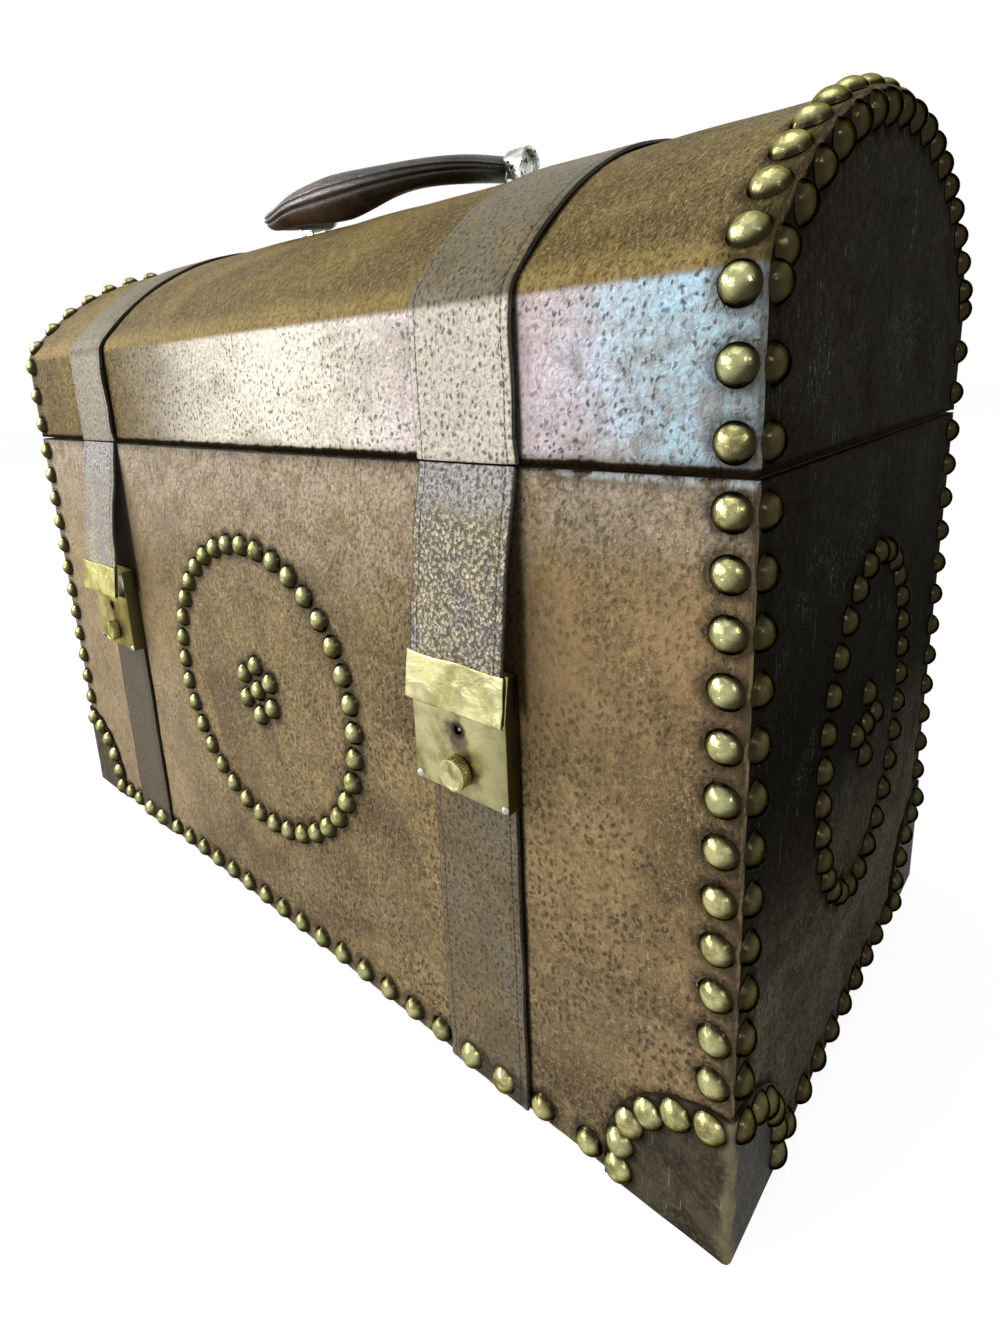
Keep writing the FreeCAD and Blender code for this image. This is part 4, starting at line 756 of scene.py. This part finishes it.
def cut_off(place, outward):
    """Cuts away what lies past a plane."""
    bpy.ops.mesh.select_all(action="SELECT")
    bpy.ops.mesh.bisect(plane_co=place, plane_no=outward, threshold=TOUCH, clear_outer=True, clear_inner=False,
                        use_fill=False)


TURNS = {"front": (90, 0, 0), "back": (90, 0, 180), "right": (90, 0, 90), "left": (90, 0, -90), "under": (180, 0, 0)}
OUTWARD = {"front": Vector((0, -1, 0)), "back": Vector((0, 1, 0)), "right": Vector((1, 0, 0)),
           "left": Vector((-1, 0, 0)), "under": Vector((0, 0, -1))}


def grid(name, place, facing, width, height, cell, cell_up=None):
    bpy.ops.mesh.primitive_grid_add(x_subdivisions=max(1, round(width / cell)),
                                    y_subdivisions=max(1, round(height / (cell_up or cell))), size=1,
                                    location=place, rotation=[math.radians(a) for a in TURNS[facing]])
    return named(name, (width, height, 1))


def rod(name, sides, radius, start, end, centre):
    """A round bar along y."""
    bpy.ops.mesh.primitive_cylinder_add(vertices=sides, radius=radius, depth=end - start,
                                        location=(centre.x, (start + end) / 2, centre.z),
                                        rotation=(math.pi / 2, 0, 0))
    return named(name)


def rim_of(piece):
    """The points on the open rim of a sheet."""
    uses = np.bincount(read(piece.data.loops, "edge_index"), minlength=len(piece.data.edges))
    found = np.zeros(len(piece.data.vertices), bool)
    found[edge_ends(piece)[uses == 1].ravel()] = True
    return found


def round_rim(piece, rim, width):
    """Rounds the outer edge along a rim."""
    inside = np.zeros(len(piece.data.vertices), bool)
    inside[:len(rim)] = rim
    pick(piece, "EDGE", edges_where(piece, inside))
    bpy.ops.mesh.bevel(offset=width, segments=4, affect="EDGES", offset_type="OFFSET", profile=0.5)
    object_mode()


def thicken_rim(piece, inward, rounded):
    """Gives an open sheet its thickness with a plain inner face, and closes it."""
    rim = rim_of(piece)
    edit(piece)
    bpy.ops.mesh.select_mode(type="EDGE")
    bpy.ops.mesh.select_non_manifold(extend=False, use_wire=False, use_multi_face=False,
                                     use_non_contiguous=False, use_verts=False)
    bpy.ops.mesh.extrude_edges_move(TRANSFORM_OT_translate={"value": inward})
    bpy.ops.mesh.edge_face_add()
    close_up()
    if rounded:
        round_rim(piece, rim, rounded)


def panel(name, low, high, facing, cell, cell_up=None, rounded=0.0):
    """A flat sheet between two corners, finely divided on its outer face."""
    out, middle, span = OUTWARD[facing], (low + high) / 2, high - low
    outer = Vector([middle[i] + out[i] * span[i] / 2 for i in range(3)])
    width = span.y if facing in SIDES else span.x
    height = span.y if facing == "under" else span.z
    piece = grid(name, outer, facing, width, height, cell, cell_up)
    thicken_rim(piece, -out * abs(span.dot(out)), rounded)
    return piece


def face_outwards(piece, heart):
    """Turns an open sheet over when its faces look towards its heart."""
    if ((points_of(piece) - np.array(heart)) * normals_of(piece)).sum() < 0:
        edit(piece)
        bpy.ops.mesh.flip_normals()
        object_mode()


def wrap(name, x_low, x_high, offset, cell, low, cell_across=None):
    """A sheet that goes up the lid's front, over the dome and down its back, at an offset from the hide."""
    rounded = BREAK_RADIUS + offset > 0.5 * MM
    sharp = math.asin(min(1, (half_y + offset) / (DOME_RADIUS + offset)))
    half_angle = dome_half_angle if rounded else sharp
    top = break_z if rounded else dome_centre + (DOME_RADIUS + offset) * math.cos(sharp)
    height = top - low
    piece = grid(name, ((x_low + x_high) / 2, -half_y - offset, low + height / 2), "front", x_high - x_low, height,
                 cell_across or cell, cell)

    def spin(angle, radius, centre):
        steps = max(2, round(angle * (radius + offset) / cell))
        bpy.ops.mesh.spin(steps=steps, angle=angle, center=centre, axis=(1, 0, 0), dupli=False)

    pick(piece, "EDGE", edges_where(piece, points_of(piece)[:, 2] > top - TOUCH))
    if rounded:
        spin(break_angle, BREAK_RADIUS, (0, -break_y, break_z))
    spin(2 * half_angle, DOME_RADIUS, (0, 0, dome_centre))
    if rounded:
        spin(break_angle, BREAK_RADIUS, (0, break_y, break_z))
    steps = round(height / cell)
    for _ in range(steps):
        bpy.ops.mesh.extrude_edges_move(TRANSFORM_OT_translate={"value": (0, 0, -height / steps)})
    close_up(MERGE)
    face_outwards(piece, Vector((0, 0, 0.2)))
    return piece


def joined(name, pieces):
    only(pieces[0])
    for piece in pieces[1:]:
        piece.select_set(True)
    bpy.ops.object.join()
    return named(name)


def laid_flat(points, normals):
    """Layout of surface points in metres: along the length and round the girth, or across the ends."""
    x, y, z = points.T
    crown = np.arctan2(np.abs(y), np.maximum(z - dome_centre, TOUCH))
    turn = np.arctan2(np.abs(y) - break_y, np.maximum(z - break_z, TOUCH))
    shoulder = DOME_RADIUS * dome_half_angle
    in_break = shoulder + BREAK_RADIUS * np.clip(turn - dome_half_angle, 0, break_angle)
    on_wall = shoulder + BREAK_RADIUS * break_angle + (break_z - z)
    girth = np.where(z < break_z, on_wall, np.where(crown < dome_half_angle, DOME_RADIUS * crown, in_break))
    across = np.stack([x, np.where(y < 0, -girth, girth)], 1)
    ends = np.stack([y + 1.3 * np.sign(x), z + 0.7], 1)
    under = np.stack([x + 3.0, y + 3.0], 1)
    below = (normals[:, 2:] < -0.75) & (points[:, 2:] < 10 * MM)
    return np.where(below, under, np.where(np.abs(normals[:, :1]) > 0.75, ends, across))


def add_layout(piece, layout=laid_flat):
    mesh = piece.data
    normals = np.repeat(read(mesh.polygons, "normal", 3, np.float32), read(mesh.polygons, "loop_total"), axis=0)
    while mesh.uv_layers:
        mesh.uv_layers.remove(mesh.uv_layers[0])
    flat = layout(points_of(piece)[read(mesh.loops, "vertex_index")], normals)
    mesh.uv_layers.new(name="flat").uv.foreach_set("vector", flat.astype(np.float32).ravel())


def add_measure(piece, name, values):
    found = piece.data.attributes.get(name) or piece.data.attributes.new(name, "FLOAT", "POINT")
    found.data.foreach_set("value", np.asarray(values, np.float32))


def above_body(points):
    x, y, z = points.T
    dome = np.hypot(y, np.maximum(z - dome_centre, 0)) - DOME_RADIUS
    return np.maximum(np.maximum(np.abs(y) - half_y, np.abs(x) - half_x), dome)


def stud_tops(*names):
    """The crowns of the stud heads in these nodes."""
    tops = []
    for name in names:
        points = np.unique(np.round(points_of(nodes[name]), 6), axis=0)
        height = above_body(points)
        points, height = points[height > 2 * MM], height[height > 2 * MM]
        while len(points):
            crown = points[np.argmax(height)]
            tops.append(crown)
            far = np.linalg.norm(points - crown, axis=1) > 6 * MM
            points, height = points[far], height[far]
    return tops


def stud_distance(points, normals, tops):
    """Distance of each surface point to the axis of the nearest stud."""
    nearest = np.full(len(points), FAR)
    for top in tops:
        close = np.linalg.norm(points - top, axis=1) < 16 * MM
        gap = points[close] - top
        along = (gap * normals[close]).sum(1)
        beside = np.sqrt(np.maximum((gap ** 2).sum(1) - along ** 2, 0))
        nearest[close] = np.minimum(nearest[close], beside)
    return nearest


def share(values):
    return np.clip(values, 0, 1)


def bell(values, centre, width):
    """1 at the centre, and nothing far from it."""
    return np.exp(-((values - centre) / width) ** 2)


def ripple(points, seed, length, amount):
    """A soft unevenness, the same in every run."""
    chance = np.random.default_rng(seed)
    total = np.zeros(len(points))
    for _ in range(14):
        direction = chance.normal(size=3)
        direction /= np.linalg.norm(direction)
        wave = length * chance.uniform(0.6, 1.7)
        total += np.sin(points @ direction * 2 * math.pi / wave + chance.uniform(0, 2 * math.pi))
    return total * amount / math.sqrt(7)


def reshape(piece, points, rim, stud=FAR):
    """Moves a piece's points, and keeps how far each was from the rim and from a stud."""
    add_measure(piece, "stud", np.broadcast_to(stud, len(points)))
    add_measure(piece, "rim", np.clip(rim, 0, RIM_REACH))
    set_points(piece, points)


def age_hide(piece, tops, seed, rim, uneven=0.10 * MM):
    """Presses the hide in round its nails and gives it the unevenness of old leather."""
    points, normals = points_of(piece), normals_of(piece)
    stud = stud_distance(points, normals, tops)
    pucker = 0.32 * MM
    lift = ripple(points, seed, 46 * MM, uneven) + ripple(points, seed + 1, 15 * MM, uneven * 0.35)
    lift += pucker * (0.45 * bell(stud, 9.4 * MM, 2.2 * MM) - bell(stud, STUD_FOOT, 1.7 * MM))
    lift = np.minimum(lift, 0.25 * MM) * share(rim / (3 * MM)) - 0.12 * MM
    reshape(piece, points + normals * lift[:, None], rim, stud)


def dress(piece, finish, node):
    """Gives a piece its finish and its body, and hides the CAD node that it stands for."""
    piece.data.materials.clear()
    piece.data.materials.append(finishes[finish])
    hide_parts(node)
    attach(piece, body_of[node])


def complete(piece, finish, node, angle=40, layout=laid_flat):
    smooth(piece, angle)
    add_layout(piece, layout)
    dress(piece, finish, node)


def filed(node, finish, width, segments=2):
    """A copy of a hard piece with its edges rounded, as filed metal has them."""
    piece = linked(node + "_filed", nodes[node].data.copy())
    edit(piece)
    bpy.ops.mesh.remove_doubles(threshold=2e-6)
    bpy.ops.mesh.tris_convert_to_quads(face_threshold=math.radians(1), shape_threshold=math.radians(180))
    object_mode()
    edge_round(piece, width, segments)
    smooth(piece, 35)
    dress(piece, finish, node)


# Hides of the base and the lid ----------------------------------------------------------------------------------
def inset(points, axis, low, high):
    return np.minimum(points[:, axis] - low[axis], high[axis] - points[:, axis])


def base_hides():
    for facing in ("front", "back", "left", "right", "under"):
        under = facing == "under"
        node = "base_%s_leather" % ("bottom" if under else facing)
        low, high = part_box(node)
        piece = panel("base_%s_hide" % facing, low, high, facing, (5 if under else 2) * MM, rounded=1.3 * MM)
        points = points_of(piece)
        rim = inset(points, 1 if facing in SIDES else 0, low, high)
        if under:
            rim = np.minimum(rim, inset(points, 1, low, high))
        else:
            rim = np.maximum(np.minimum(rim, high.z - points[:, 2]), 0)
        age_hide(piece, [] if under else stud_tops("base_%s_studs" % facing), len(facing) * 7, rim)
        complete(piece, "base hide" if facing in ("front", "back") else "shaded end hide", node)


def lid_hides():
    low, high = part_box("lid_leather")
    piece = wrap("lid_hide", low.x, high.x, 0, 2.4 * MM, low.z)
    edge = rim_of(piece)
    thicken(piece, HIDE)
    round_rim(piece, edge, 1.3 * MM)
    x, _, z = points_of(piece).T
    rim = np.maximum(np.minimum(half_x - np.abs(x), z - low.z), 0)
    age_hide(piece, stud_tops("lid_edge_studs"), 5, rim, 0.13 * MM)
    complete(piece, "lid hide", "lid_leather")

    for side in SIDES:
        node = "lid_%s_leather" % side
        low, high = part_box(node)
        outer, depth = high.x if side == "right" else low.x, high.y
        radius, corner = (r - (half_y - depth) for r in (DOME_RADIUS, BREAK_RADIUS))
        piece = grid("lid_%s_hide" % side, (outer, 0, (low.z + high.z) / 2), side, 2 * depth, high.z - low.z, 2 * MM)
        outline = [(math.pi / 2 - break_angle * i / 6, corner, break_y, break_z) for i in range(7)]
        outline += [(dome_half_angle * (1 - i / 22), radius, 0, dome_centre) for i in range(1, 23)]
        corners = [(y + r * math.sin(a), z + r * math.cos(a)) for a, r, y, z in outline]
        edit(piece)
        for (y0, z0), (y1, z1) in zip(corners, corners[1:]):
            for hand in (-1, 1):
                cut_off((outer, hand * y0, z0), Vector((0, hand * (z1 - z0), y0 - y1)).normalized())
        object_mode()
        thicken_rim(piece, -OUTWARD[side] * abs(high.x - low.x), 1.2 * MM)
        _, y, z = points_of(piece).T
        dome = radius - np.hypot(y, np.maximum(z - dome_centre, 0))
        rim = np.maximum(np.minimum(np.minimum(depth - np.abs(y), z - low.z), dome), 0)
        age_hide(piece, stud_tops("lid_%s_studs" % side), 31, rim)
        complete(piece, "shaded end hide", node)


# Straps, bands and patches --------------------------------------------------------------------------------------
def middle_of(low, high):
    """Where the middle of a box lies along x, and half its width."""
    return (low.x + high.x) / 2, (high.x - low.x) / 2


def shape_strap(piece, low, high, seed, tops=(), lift=0.0):
    """Crowns a strap, presses in its stitched lines and lets its right edge stand off a little."""
    centre, half_width = middle_of(low, high)
    points, normals = points_of(piece), normals_of(piece)
    reach = np.abs(points[:, 0] - centre)
    edge = np.maximum(half_width - reach, 0)
    stud = stud_distance(points, normals, tops)
    face = -0.45 * MM * np.exp(-edge / (0.9 * MM)) - 0.22 * MM * bell(edge, STITCH_INSET, 0.55 * MM)
    face -= 0.25 * MM * bell(stud, STUD_FOOT, 1.7 * MM)
    face += ripple(points, seed, 30 * MM, 0.09 * MM) - 0.05 * MM
    points = points + normals * (face * (above_body(points) > 0.45 * MM))[:, None]
    if lift:
        on_wall = share((break_z + 12 * MM - points[:, 2]) / (24 * MM)) * share((points[:, 2] - lid_low) / (9 * MM))
        wander = 0.75 + 0.25 * np.sin(points[:, 2] * 2 * math.pi / (37 * MM) + seed)
        right = share((points[:, 0] - centre) / half_width) ** 2
        points[:, 1] += np.sign(points[:, 1]) * lift * right * on_wall * wander
    points[:, 0] += share(reach / half_width - 0.7) * ripple(points, seed + 4, 34 * MM, 0.5 * MM)
    reshape(piece, points, edge, stud)


def lid_straps():
    for side, seed in zip(SIDES, (3, 8)):
        node = side + "_lid_strap"
        low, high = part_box(node)
        thick = -half_y - low.y
        piece = wrap(side + "_dome_strap", low.x, high.x, thick, 2.2 * MM, low.z, 1 * MM)
        thicken(piece, thick)
        edge_round(piece, 0.45 * MM)
        shape_strap(piece, low, high, seed, lift=1.5 * MM)
        complete(piece, "lid strap", node)


def bands():
    for facing in ("front", "back"):
        node = "base_%s_straps" % facing
        tops = stud_tops("base_%s_studs" % facing)
        made_bands = []
        for side, hand in zip(SIDES, (-1, 1)):
            points = points_of(nodes[node])
            points = points[points[:, 0] * hand > 0]
            low, high = Vector(points.min(0)), Vector(points.max(0))
            piece = panel("%s_%s_band" % (facing, side), low, high, facing, 1 * MM, 2 * MM)
            edge_round(piece, 0.4 * MM)
            shape_strap(piece, low, high, 11 + len(made_bands), tops)
            made_bands.append(piece)
        complete(joined("base_%s_bands" % facing, made_bands), "band", node)


def tilt_out(piece, bend):
    """Turns a piece about the bend of its strap, as far as the strap end leans."""
    piece.data.transform(Matrix.Translation(bend) @ Matrix.Rotation(-FLAP_TILT, 4, "X") @ Matrix.Translation(-bend))


def strap_ends():
    for side in SIDES:
        node = side + "_strap_flap"
        low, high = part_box(node)
        centre, half_width = middle_of(low, high)
        bend, over = pivots[side + "_flap_bend"], 0.3 * MM
        reach = (bend.z - low.z) / math.cos(FLAP_TILT)
        piece = grid(side + "_strap_end", (centre, bend.y - STRAP_END / 2, bend.z + (over - reach) / 2), "front",
                     high.x - low.x, reach + over, 1 * MM, 1.5 * MM)
        thicken(piece, STRAP_END)
        edge_round(piece, 0.45 * MM)
        points, normals = points_of(piece), normals_of(piece)
        edge = np.maximum(half_width - np.abs(points[:, 0] - centre), 0)
        face = -0.30 * MM * np.exp(-edge / (0.9 * MM)) - 0.20 * MM * bell(edge, STITCH_INSET, 0.55 * MM)
        points += normals * (face * (normals[:, 1] < -0.5))[:, None]
        down = share((bend.z - points[:, 2]) / reach)
        bow = np.sin(down * math.pi / 0.8) * 0.9 * MM + ripple(points, 21, 26 * MM, 0.16 * MM)
        points[:, 1] -= bow * share((0.77 - down) * 7) * share(down * 12)
        points[:, 0] += share(1 - edge / (8 * MM)) * ripple(points, 25, 30 * MM, 0.3 * MM)
        reshape(piece, points, edge)
        add_layout(piece)
        tilt_out(piece, bend)
        smooth(piece)
        dress(piece, "strap end", node)


def corner_patches():
    """A leaf with two round lobes is laid out flat, folded round the corner and given its thickness."""
    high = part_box("corner_patches")[1]
    thick, rise, steps, bend = high.x - half_x, 12 * MM, 18, 2.2 * MM
    reach = high.z - rise
    leaf = grid("corner_leaf", (0, -thick, high.z / 2), "front", 2 * reach, high.z, 1.5 * MM)
    edit(leaf)
    for hand in (-1, 1):
        for i in range(steps):
            turn = math.pi / 2 * (i + 0.5) / steps
            out = Vector((-hand * math.cos(turn), 0, math.sin(turn)))
            cut_off(Vector((0, 0, rise)) + out * reach * math.cos(math.pi / 4 / steps), out)
    object_mode()
    along, _, up = points_of(leaf).T
    turn = np.clip(along / bend + math.pi / 4, 0, math.pi / 2)
    past = np.maximum(along - math.pi / 4 * bend, 0)
    before = np.minimum(along + math.pi / 4 * bend, 0)
    folded = np.stack([half_x + thick - bend + before + bend * np.sin(turn),
                       -half_y - thick + bend - bend * np.cos(turn) + past, up], 1)
    edge = reach - np.hypot(along, np.maximum(up - rise, 0))
    set_points(leaf, folded)
    add_measure(leaf, "rim", np.clip(edge, 0, RIM_REACH))
    thicken(leaf, thick)
    edge_round(leaf, 0.4 * MM)
    leaves = []
    for name, x, y in (("front_right", 1, 1), ("front_left", -1, 1), ("back_right", 1, -1), ("back_left", -1, -1)):
        twin = linked(name + "_patch", leaf.data.copy())
        twin.data.transform(Matrix.Diagonal((x, y, 1, 1)))
        if x != y:
            twin.data.flip_normals()
        leaves.append(twin)
    bpy.data.objects.remove(leaf)
    patches = joined("corner_leather", leaves)
    points, normals = points_of(patches), normals_of(patches)
    tops = stud_tops("base_front_studs", "base_back_studs", "base_left_studs", "base_right_studs")
    stud = stud_distance(points, normals, tops)
    lift = ripple(points, 41, 18 * MM, 0.10 * MM) - 0.30 * MM * bell(stud, STUD_FOOT, 1.6 * MM)
    lift = (np.minimum(lift, 0) - 0.03 * MM) * (above_body(points) > 0.5 * MM)
    add_measure(patches, "stud", stud)
    set_points(patches, points + normals * lift[:, None])
    complete(patches, "patch", "corner_patches")


# Locks and hasps ------------------------------------------------------------------------------------------------
def hasp(side, seed):
    """Sheet brass folded round the strap end, open at both sides, with a wavy upper lip."""
    node = side + "_hasp"
    low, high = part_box(node)
    centre, half_width = middle_of(low, high)
    bend = pivots[side + "_flap_bend"]
    brass, gap, tall, rows = 0.6 * MM, 0.75 * MM, 17.5 * MM, 8
    reach = (bend.z - low.z - (gap + brass) * math.sin(FLAP_TILT)) / math.cos(FLAP_TILT)
    bottom, top = bend.z - reach + brass + gap, bend.z - reach + tall
    piece = grid(side + "_clip", (centre, bend.y - gap - brass, (bottom + top) / 2), "front", 2 * half_width,
                 top - bottom, 1 * MM)
    pick(piece, "EDGE", edges_where(piece, points_of(piece)[:, 2] < bottom + TOUCH))
    bpy.ops.mesh.spin(steps=8, angle=math.pi, center=(0, bend.y, bottom), axis=(-1, 0, 0), dupli=False)
    for _ in range(rows):
        bpy.ops.mesh.extrude_edges_move(TRANSFORM_OT_translate={"value": (0, 0, (top - bottom) / rows)})
    close_up(MERGE)
    face_outwards(piece, Vector((centre, bend.y, (top + bottom) / 2)))
    thicken(piece, brass)
    edge_round(piece, 0.16 * MM, 2)
    points = points_of(piece)
    across = (points[:, 0] - centre) / half_width
    up = (points[:, 2] - bottom) / (top - bottom)
    dent = ripple(points, seed, 17 * MM, 0.16 * MM) * np.clip(up * 3, 0.1, 1)
    notch = bell(across, 0.05, 0.05) * share(1 - up * 4)
    curl = 0.35 * MM * share(up - 0.75) * (1 + np.sin(across * 7))
    points[:, 1] += (points[:, 1] < bend.y) * (dent + 0.25 * MM * notch - curl)
    points[:, 2] += 0.25 * MM * np.sin(across * 5 + 1) * share(up) + 0.5 * MM * notch
    set_points(piece, points)
    tilt_out(piece, bend)
    smooth(piece, 50)
    dress(piece, "hasp brass", node)


def knob(side):
    """A flat round knob with a raised ridge across its face and a milled rim."""
    node = side + "_lock_knob"
    low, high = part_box(node)
    centre = (low + high) / 2
    radius, thick, teeth, lean = (high.x - low.x) / 2, 4.4 * MM, 72, 0.18
    piece = rod(side + "_knob", teeth, radius, low.y, low.y + thick, centre)
    points = points_of(piece)
    x, z = points[:, 0] - centre.x, points[:, 2] - centre.z
    mill = 1 - 0.030 * (np.round(np.arctan2(x, z) / (2 * math.pi / teeth)).astype(int) % 2)
    points[:, 0], points[:, 2] = centre.x + x * mill, centre.z + z * mill
    set_points(piece, points)
    pick(piece, "FACE", [face.normal.y < -0.9 for face in piece.data.polygons])
    bpy.ops.mesh.inset(thickness=0.9 * MM, depth=0.0)
    bpy.ops.mesh.inset(thickness=0.3 * MM, depth=-0.25 * MM)
    object_mode()
    pick(piece, "FACE", [face.normal.y < -0.9 and face.area > 20e-6 for face in piece.data.polygons])
    bpy.ops.mesh.bisect(plane_co=centre, plane_no=(1, 0, lean))
    object_mode()
    points = points_of(piece)
    x, z = points[:, 0] - centre.x, points[:, 2] - centre.z
    ridge = (np.abs(x + lean * z) < 0.05 * MM) & (points[:, 1] < low.y + 1 * MM)
    points[ridge & (np.hypot(x, z) < radius - 1.05 * MM), 1] = low.y
    set_points(piece, points)
    edge_round(piece, 0.12 * MM, 2)
    shank = rod(side + "_knob_shank", 32, 2 * MM, low.y + thick - 0.5 * MM, high.y, centre)
    edge_round(shank, 0.2 * MM, 2)
    whole = joined(side + "_knob", [piece, shank])
    smooth(whole, 30)
    dress(whole, "knob brass", node)


# Handle ---------------------------------------------------------------------------------------------------------
def grip():
    """A stuffed leather grip, bowed and thick in its middle, with two raised seams along its front."""
    pivot = pivots["handle_pivot"]
    span, bow, power, droop = 66.3 * MM, 48.85 * MM, 4.23, math.radians(6.5)
    bpy.ops.mesh.primitive_cylinder_add(vertices=120, radius=1, depth=2)
    piece = named("grip_leather")
    heights = points_of(piece)[edge_ends(piece)][:, :, 2]
    pick(piece, "EDGE", np.abs(heights[:, 0] - heights[:, 1]) > 1)
    bpy.ops.mesh.subdivide_edgering(number_cuts=129, interpolation="LINEAR")
    object_mode()
    across, up, place = points_of(piece).T
    ahead, above = np.cos(np.arctan2(up, across)), np.sin(np.arctan2(up, across))

    # The bow is a rounded rectangle from end to end, walked at an even pace.
    fine = np.linspace(-1, 1, 2001) * math.pi / 2
    path = np.stack([span * np.sign(fine) * np.abs(np.sin(fine)) ** (2 / power),
                     -bow * np.maximum(np.cos(fine), 0) ** (2 / power)])
    run = np.concatenate([[0], np.cumsum(np.hypot(*np.diff(path)))])
    run = 2 * run / run[-1] - 1
    step = 0.004
    (x, y), (x_on, y_on), (x_back, y_back) = (
        [np.interp(place + ahead_by, run, line) for line in path] for ahead_by in (0, step, -step))
    way_x, way_y = x_on - x_back, y_on - y_back
    size = np.hypot(way_x, way_y)

    # The section is in millimetres: thin at the ends, full in the middle, flatter on top and drawn in beside it.
    belly = np.maximum(1 - np.abs(place - 0.09 * (1 - place ** 2)) ** 1.31, 0) ** 1.83
    fuller = (2.0 * np.maximum(-above, 0) ** 2 - 2.58 * np.maximum(above, 0) ** 2
              + 5.27 * np.maximum(ahead, 0) ** 2 + 1.24 * np.maximum(-ahead, 0) ** 2)
    girth = 5.78 + belly * (3.84 + fuller) - 2.37 * bell(np.abs(place), 0.45, 0.23) * above ** 2
    line = girth * above / (0.45 + 0.55 * belly)
    front = share(ahead * 4) * share((1 - np.abs(place)) * 7)
    ridges = (bell(line, 2.5, 0.8) + bell(line, -0.7, 1.3)) * front
    grooves = (bell(line, 1.1, 0.55) + bell(line, -2.8, 0.9)) * front
    girth += 0.55 * ridges - 0.55 * grooves
    sag = 0.81 * belly + 2.62 * bell(place, -0.45, 0.16)
    out, height = girth * ahead * MM, (girth * above - sag) * MM

    forward = y - way_x / size * out
    cosine, sine = math.cos(droop), math.sin(droop)
    placed = np.stack([x + way_y / size * out, forward * cosine - height * sine, forward * sine + height * cosine], 1)
    set_points(piece, placed + np.array(pivot))
    add_measure(piece, "seam", grooves)
    edit(piece)
    close_up()
    edge_round(piece, 0.8 * MM, 3)

    def round_layout(points, normals):
        local = points - np.array(pivot)
        return np.stack([local[:, 0] + 5, local[:, 1] * 0.7 + local[:, 2] * 1.3 + 5], 1)

    complete(piece, "grip", "handle_grip", 50, round_layout)


# Linings --------------------------------------------------------------------------------------------------------
def let_in(piece, seed, length, slack, free):
    """Lets a cloth stand off its boards a little, where it is free to."""
    points = points_of(piece)
    inward = np.minimum(ripple(points, seed, length, slack) - slack, 0)
    set_points(piece, points + normals_of(piece) * (inward * free)[:, None])
    thicken(piece, 1 * MM)


def linings():
    low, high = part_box("base_lining")
    span = high - low
    bpy.ops.mesh.primitive_cube_add(size=1, location=(low + high) / 2)
    piece = named("base_cloth", span)
    pick(piece, "FACE", [face.normal.z > 0.9 for face in piece.data.polygons])
    bpy.ops.mesh.delete(type="ONLY_FACE")
    bpy.ops.mesh.select_mode(type="EDGE")
    bpy.ops.mesh.select_all(action="SELECT")
    bpy.ops.mesh.subdivide(number_cuts=40)
    object_mode()
    let_in(piece, 81, 60 * MM, 0.5 * MM, points_of(piece)[:, 2] <= high.z - MERGE)
    complete(piece, "cloth", "base_lining", 60)

    low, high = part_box("lid_lining")
    offset = high.y - half_y
    piece = wrap("lid_cloth", low.x, high.x, offset, 5 * MM, low.z, 8 * MM)
    for x in (low.x, high.x):
        pick(piece, "EDGE", edges_where(piece, np.abs(points_of(piece)[:, 0] - x) < TOUCH))
        bpy.ops.mesh.edge_face_add()
        object_mode()
    edit(piece)
    close_up()
    face_outwards(piece, Vector((0, 0, 0.28)))
    points = points_of(piece)
    free = (points[:, 2] > low.z + 2 * MM) & (np.abs(points[:, 0]) < high.x - 1 * MM)
    let_in(piece, 91, 70 * MM, 0.4 * MM, free)
    complete(piece, "cloth", "lid_lining", 50)
    girth = 2 * ((break_z - low.z) + (BREAK_RADIUS + offset) * break_angle + (DOME_RADIUS + offset) * dome_half_angle)
    ends = 2 * (high.y - low.y) * (high.z - low.z) * 0.82
    (high.x - low.x) * girth + ends


# The trunk ------------------------------------------------------------------------------------------------------
set_camera()
set_world()
area_light("window", (-1.10, -1.20, 0.75), (0.02, -0.1, 0.22), 1.6, 0.85, 17, (1.0, 0.985, 0.96))
area_light("side_lamp", (-1.15, -0.62, 0.95), (0.05, -0.1, 0.18), 0.30, 0.30, 13, (1.0, 0.975, 0.93))
area_light("ceiling", (-0.1, -0.35, 1.9), (0, 0, 0.2), 1.3, 1.3, 10, (0.95, 0.98, 1.0))
area_light("right_glint", (1.15, -0.75, 0.80), (0.24, 0.0, 0.2), 0.22, 0.22, 2.6, (1.0, 0.98, 0.94))
lay_floor()

base_hides()
lid_hides()
lid_straps()
bands()
strap_ends()
corner_patches()
for side, seed in zip(SIDES, (61, 64)):
    filed(side + "_lock_case", "lock brass", 0.45 * MM, 3)
    hasp(side, seed)
    knob(side)
    filed(side + "_hasp_tongue", "lock brass", 0.25 * MM)
grip()
linings()
for node, finish in (("handle_plates", "nickel"), ("handle_loops", "nickel"), ("hinge_base_leaves", "hinge nickel"),
                     ("hinge_lid_leaves", "hinge nickel")):
    filed(node, finish, 0.35 * MM)
for finish, endings in (("stud", ("_studs",)), ("board", ("_board",)), ("nickel", ("handle_ends", "handle_rivets")),
                        ("hinge nickel", ("lock_pins",)),
                        ("steel", ("handle_core", "hinge_pins", "_screws", "key_posts", "lock_springs",
                                   "_bolt_plate"))):
    for node, thing in nodes.items():
        if node.endswith(endings):
            thing.data.materials.clear()
            thing.data.materials.append(finishes[finish])

bpy.context.scene.view_settings.view_transform = "Standard"
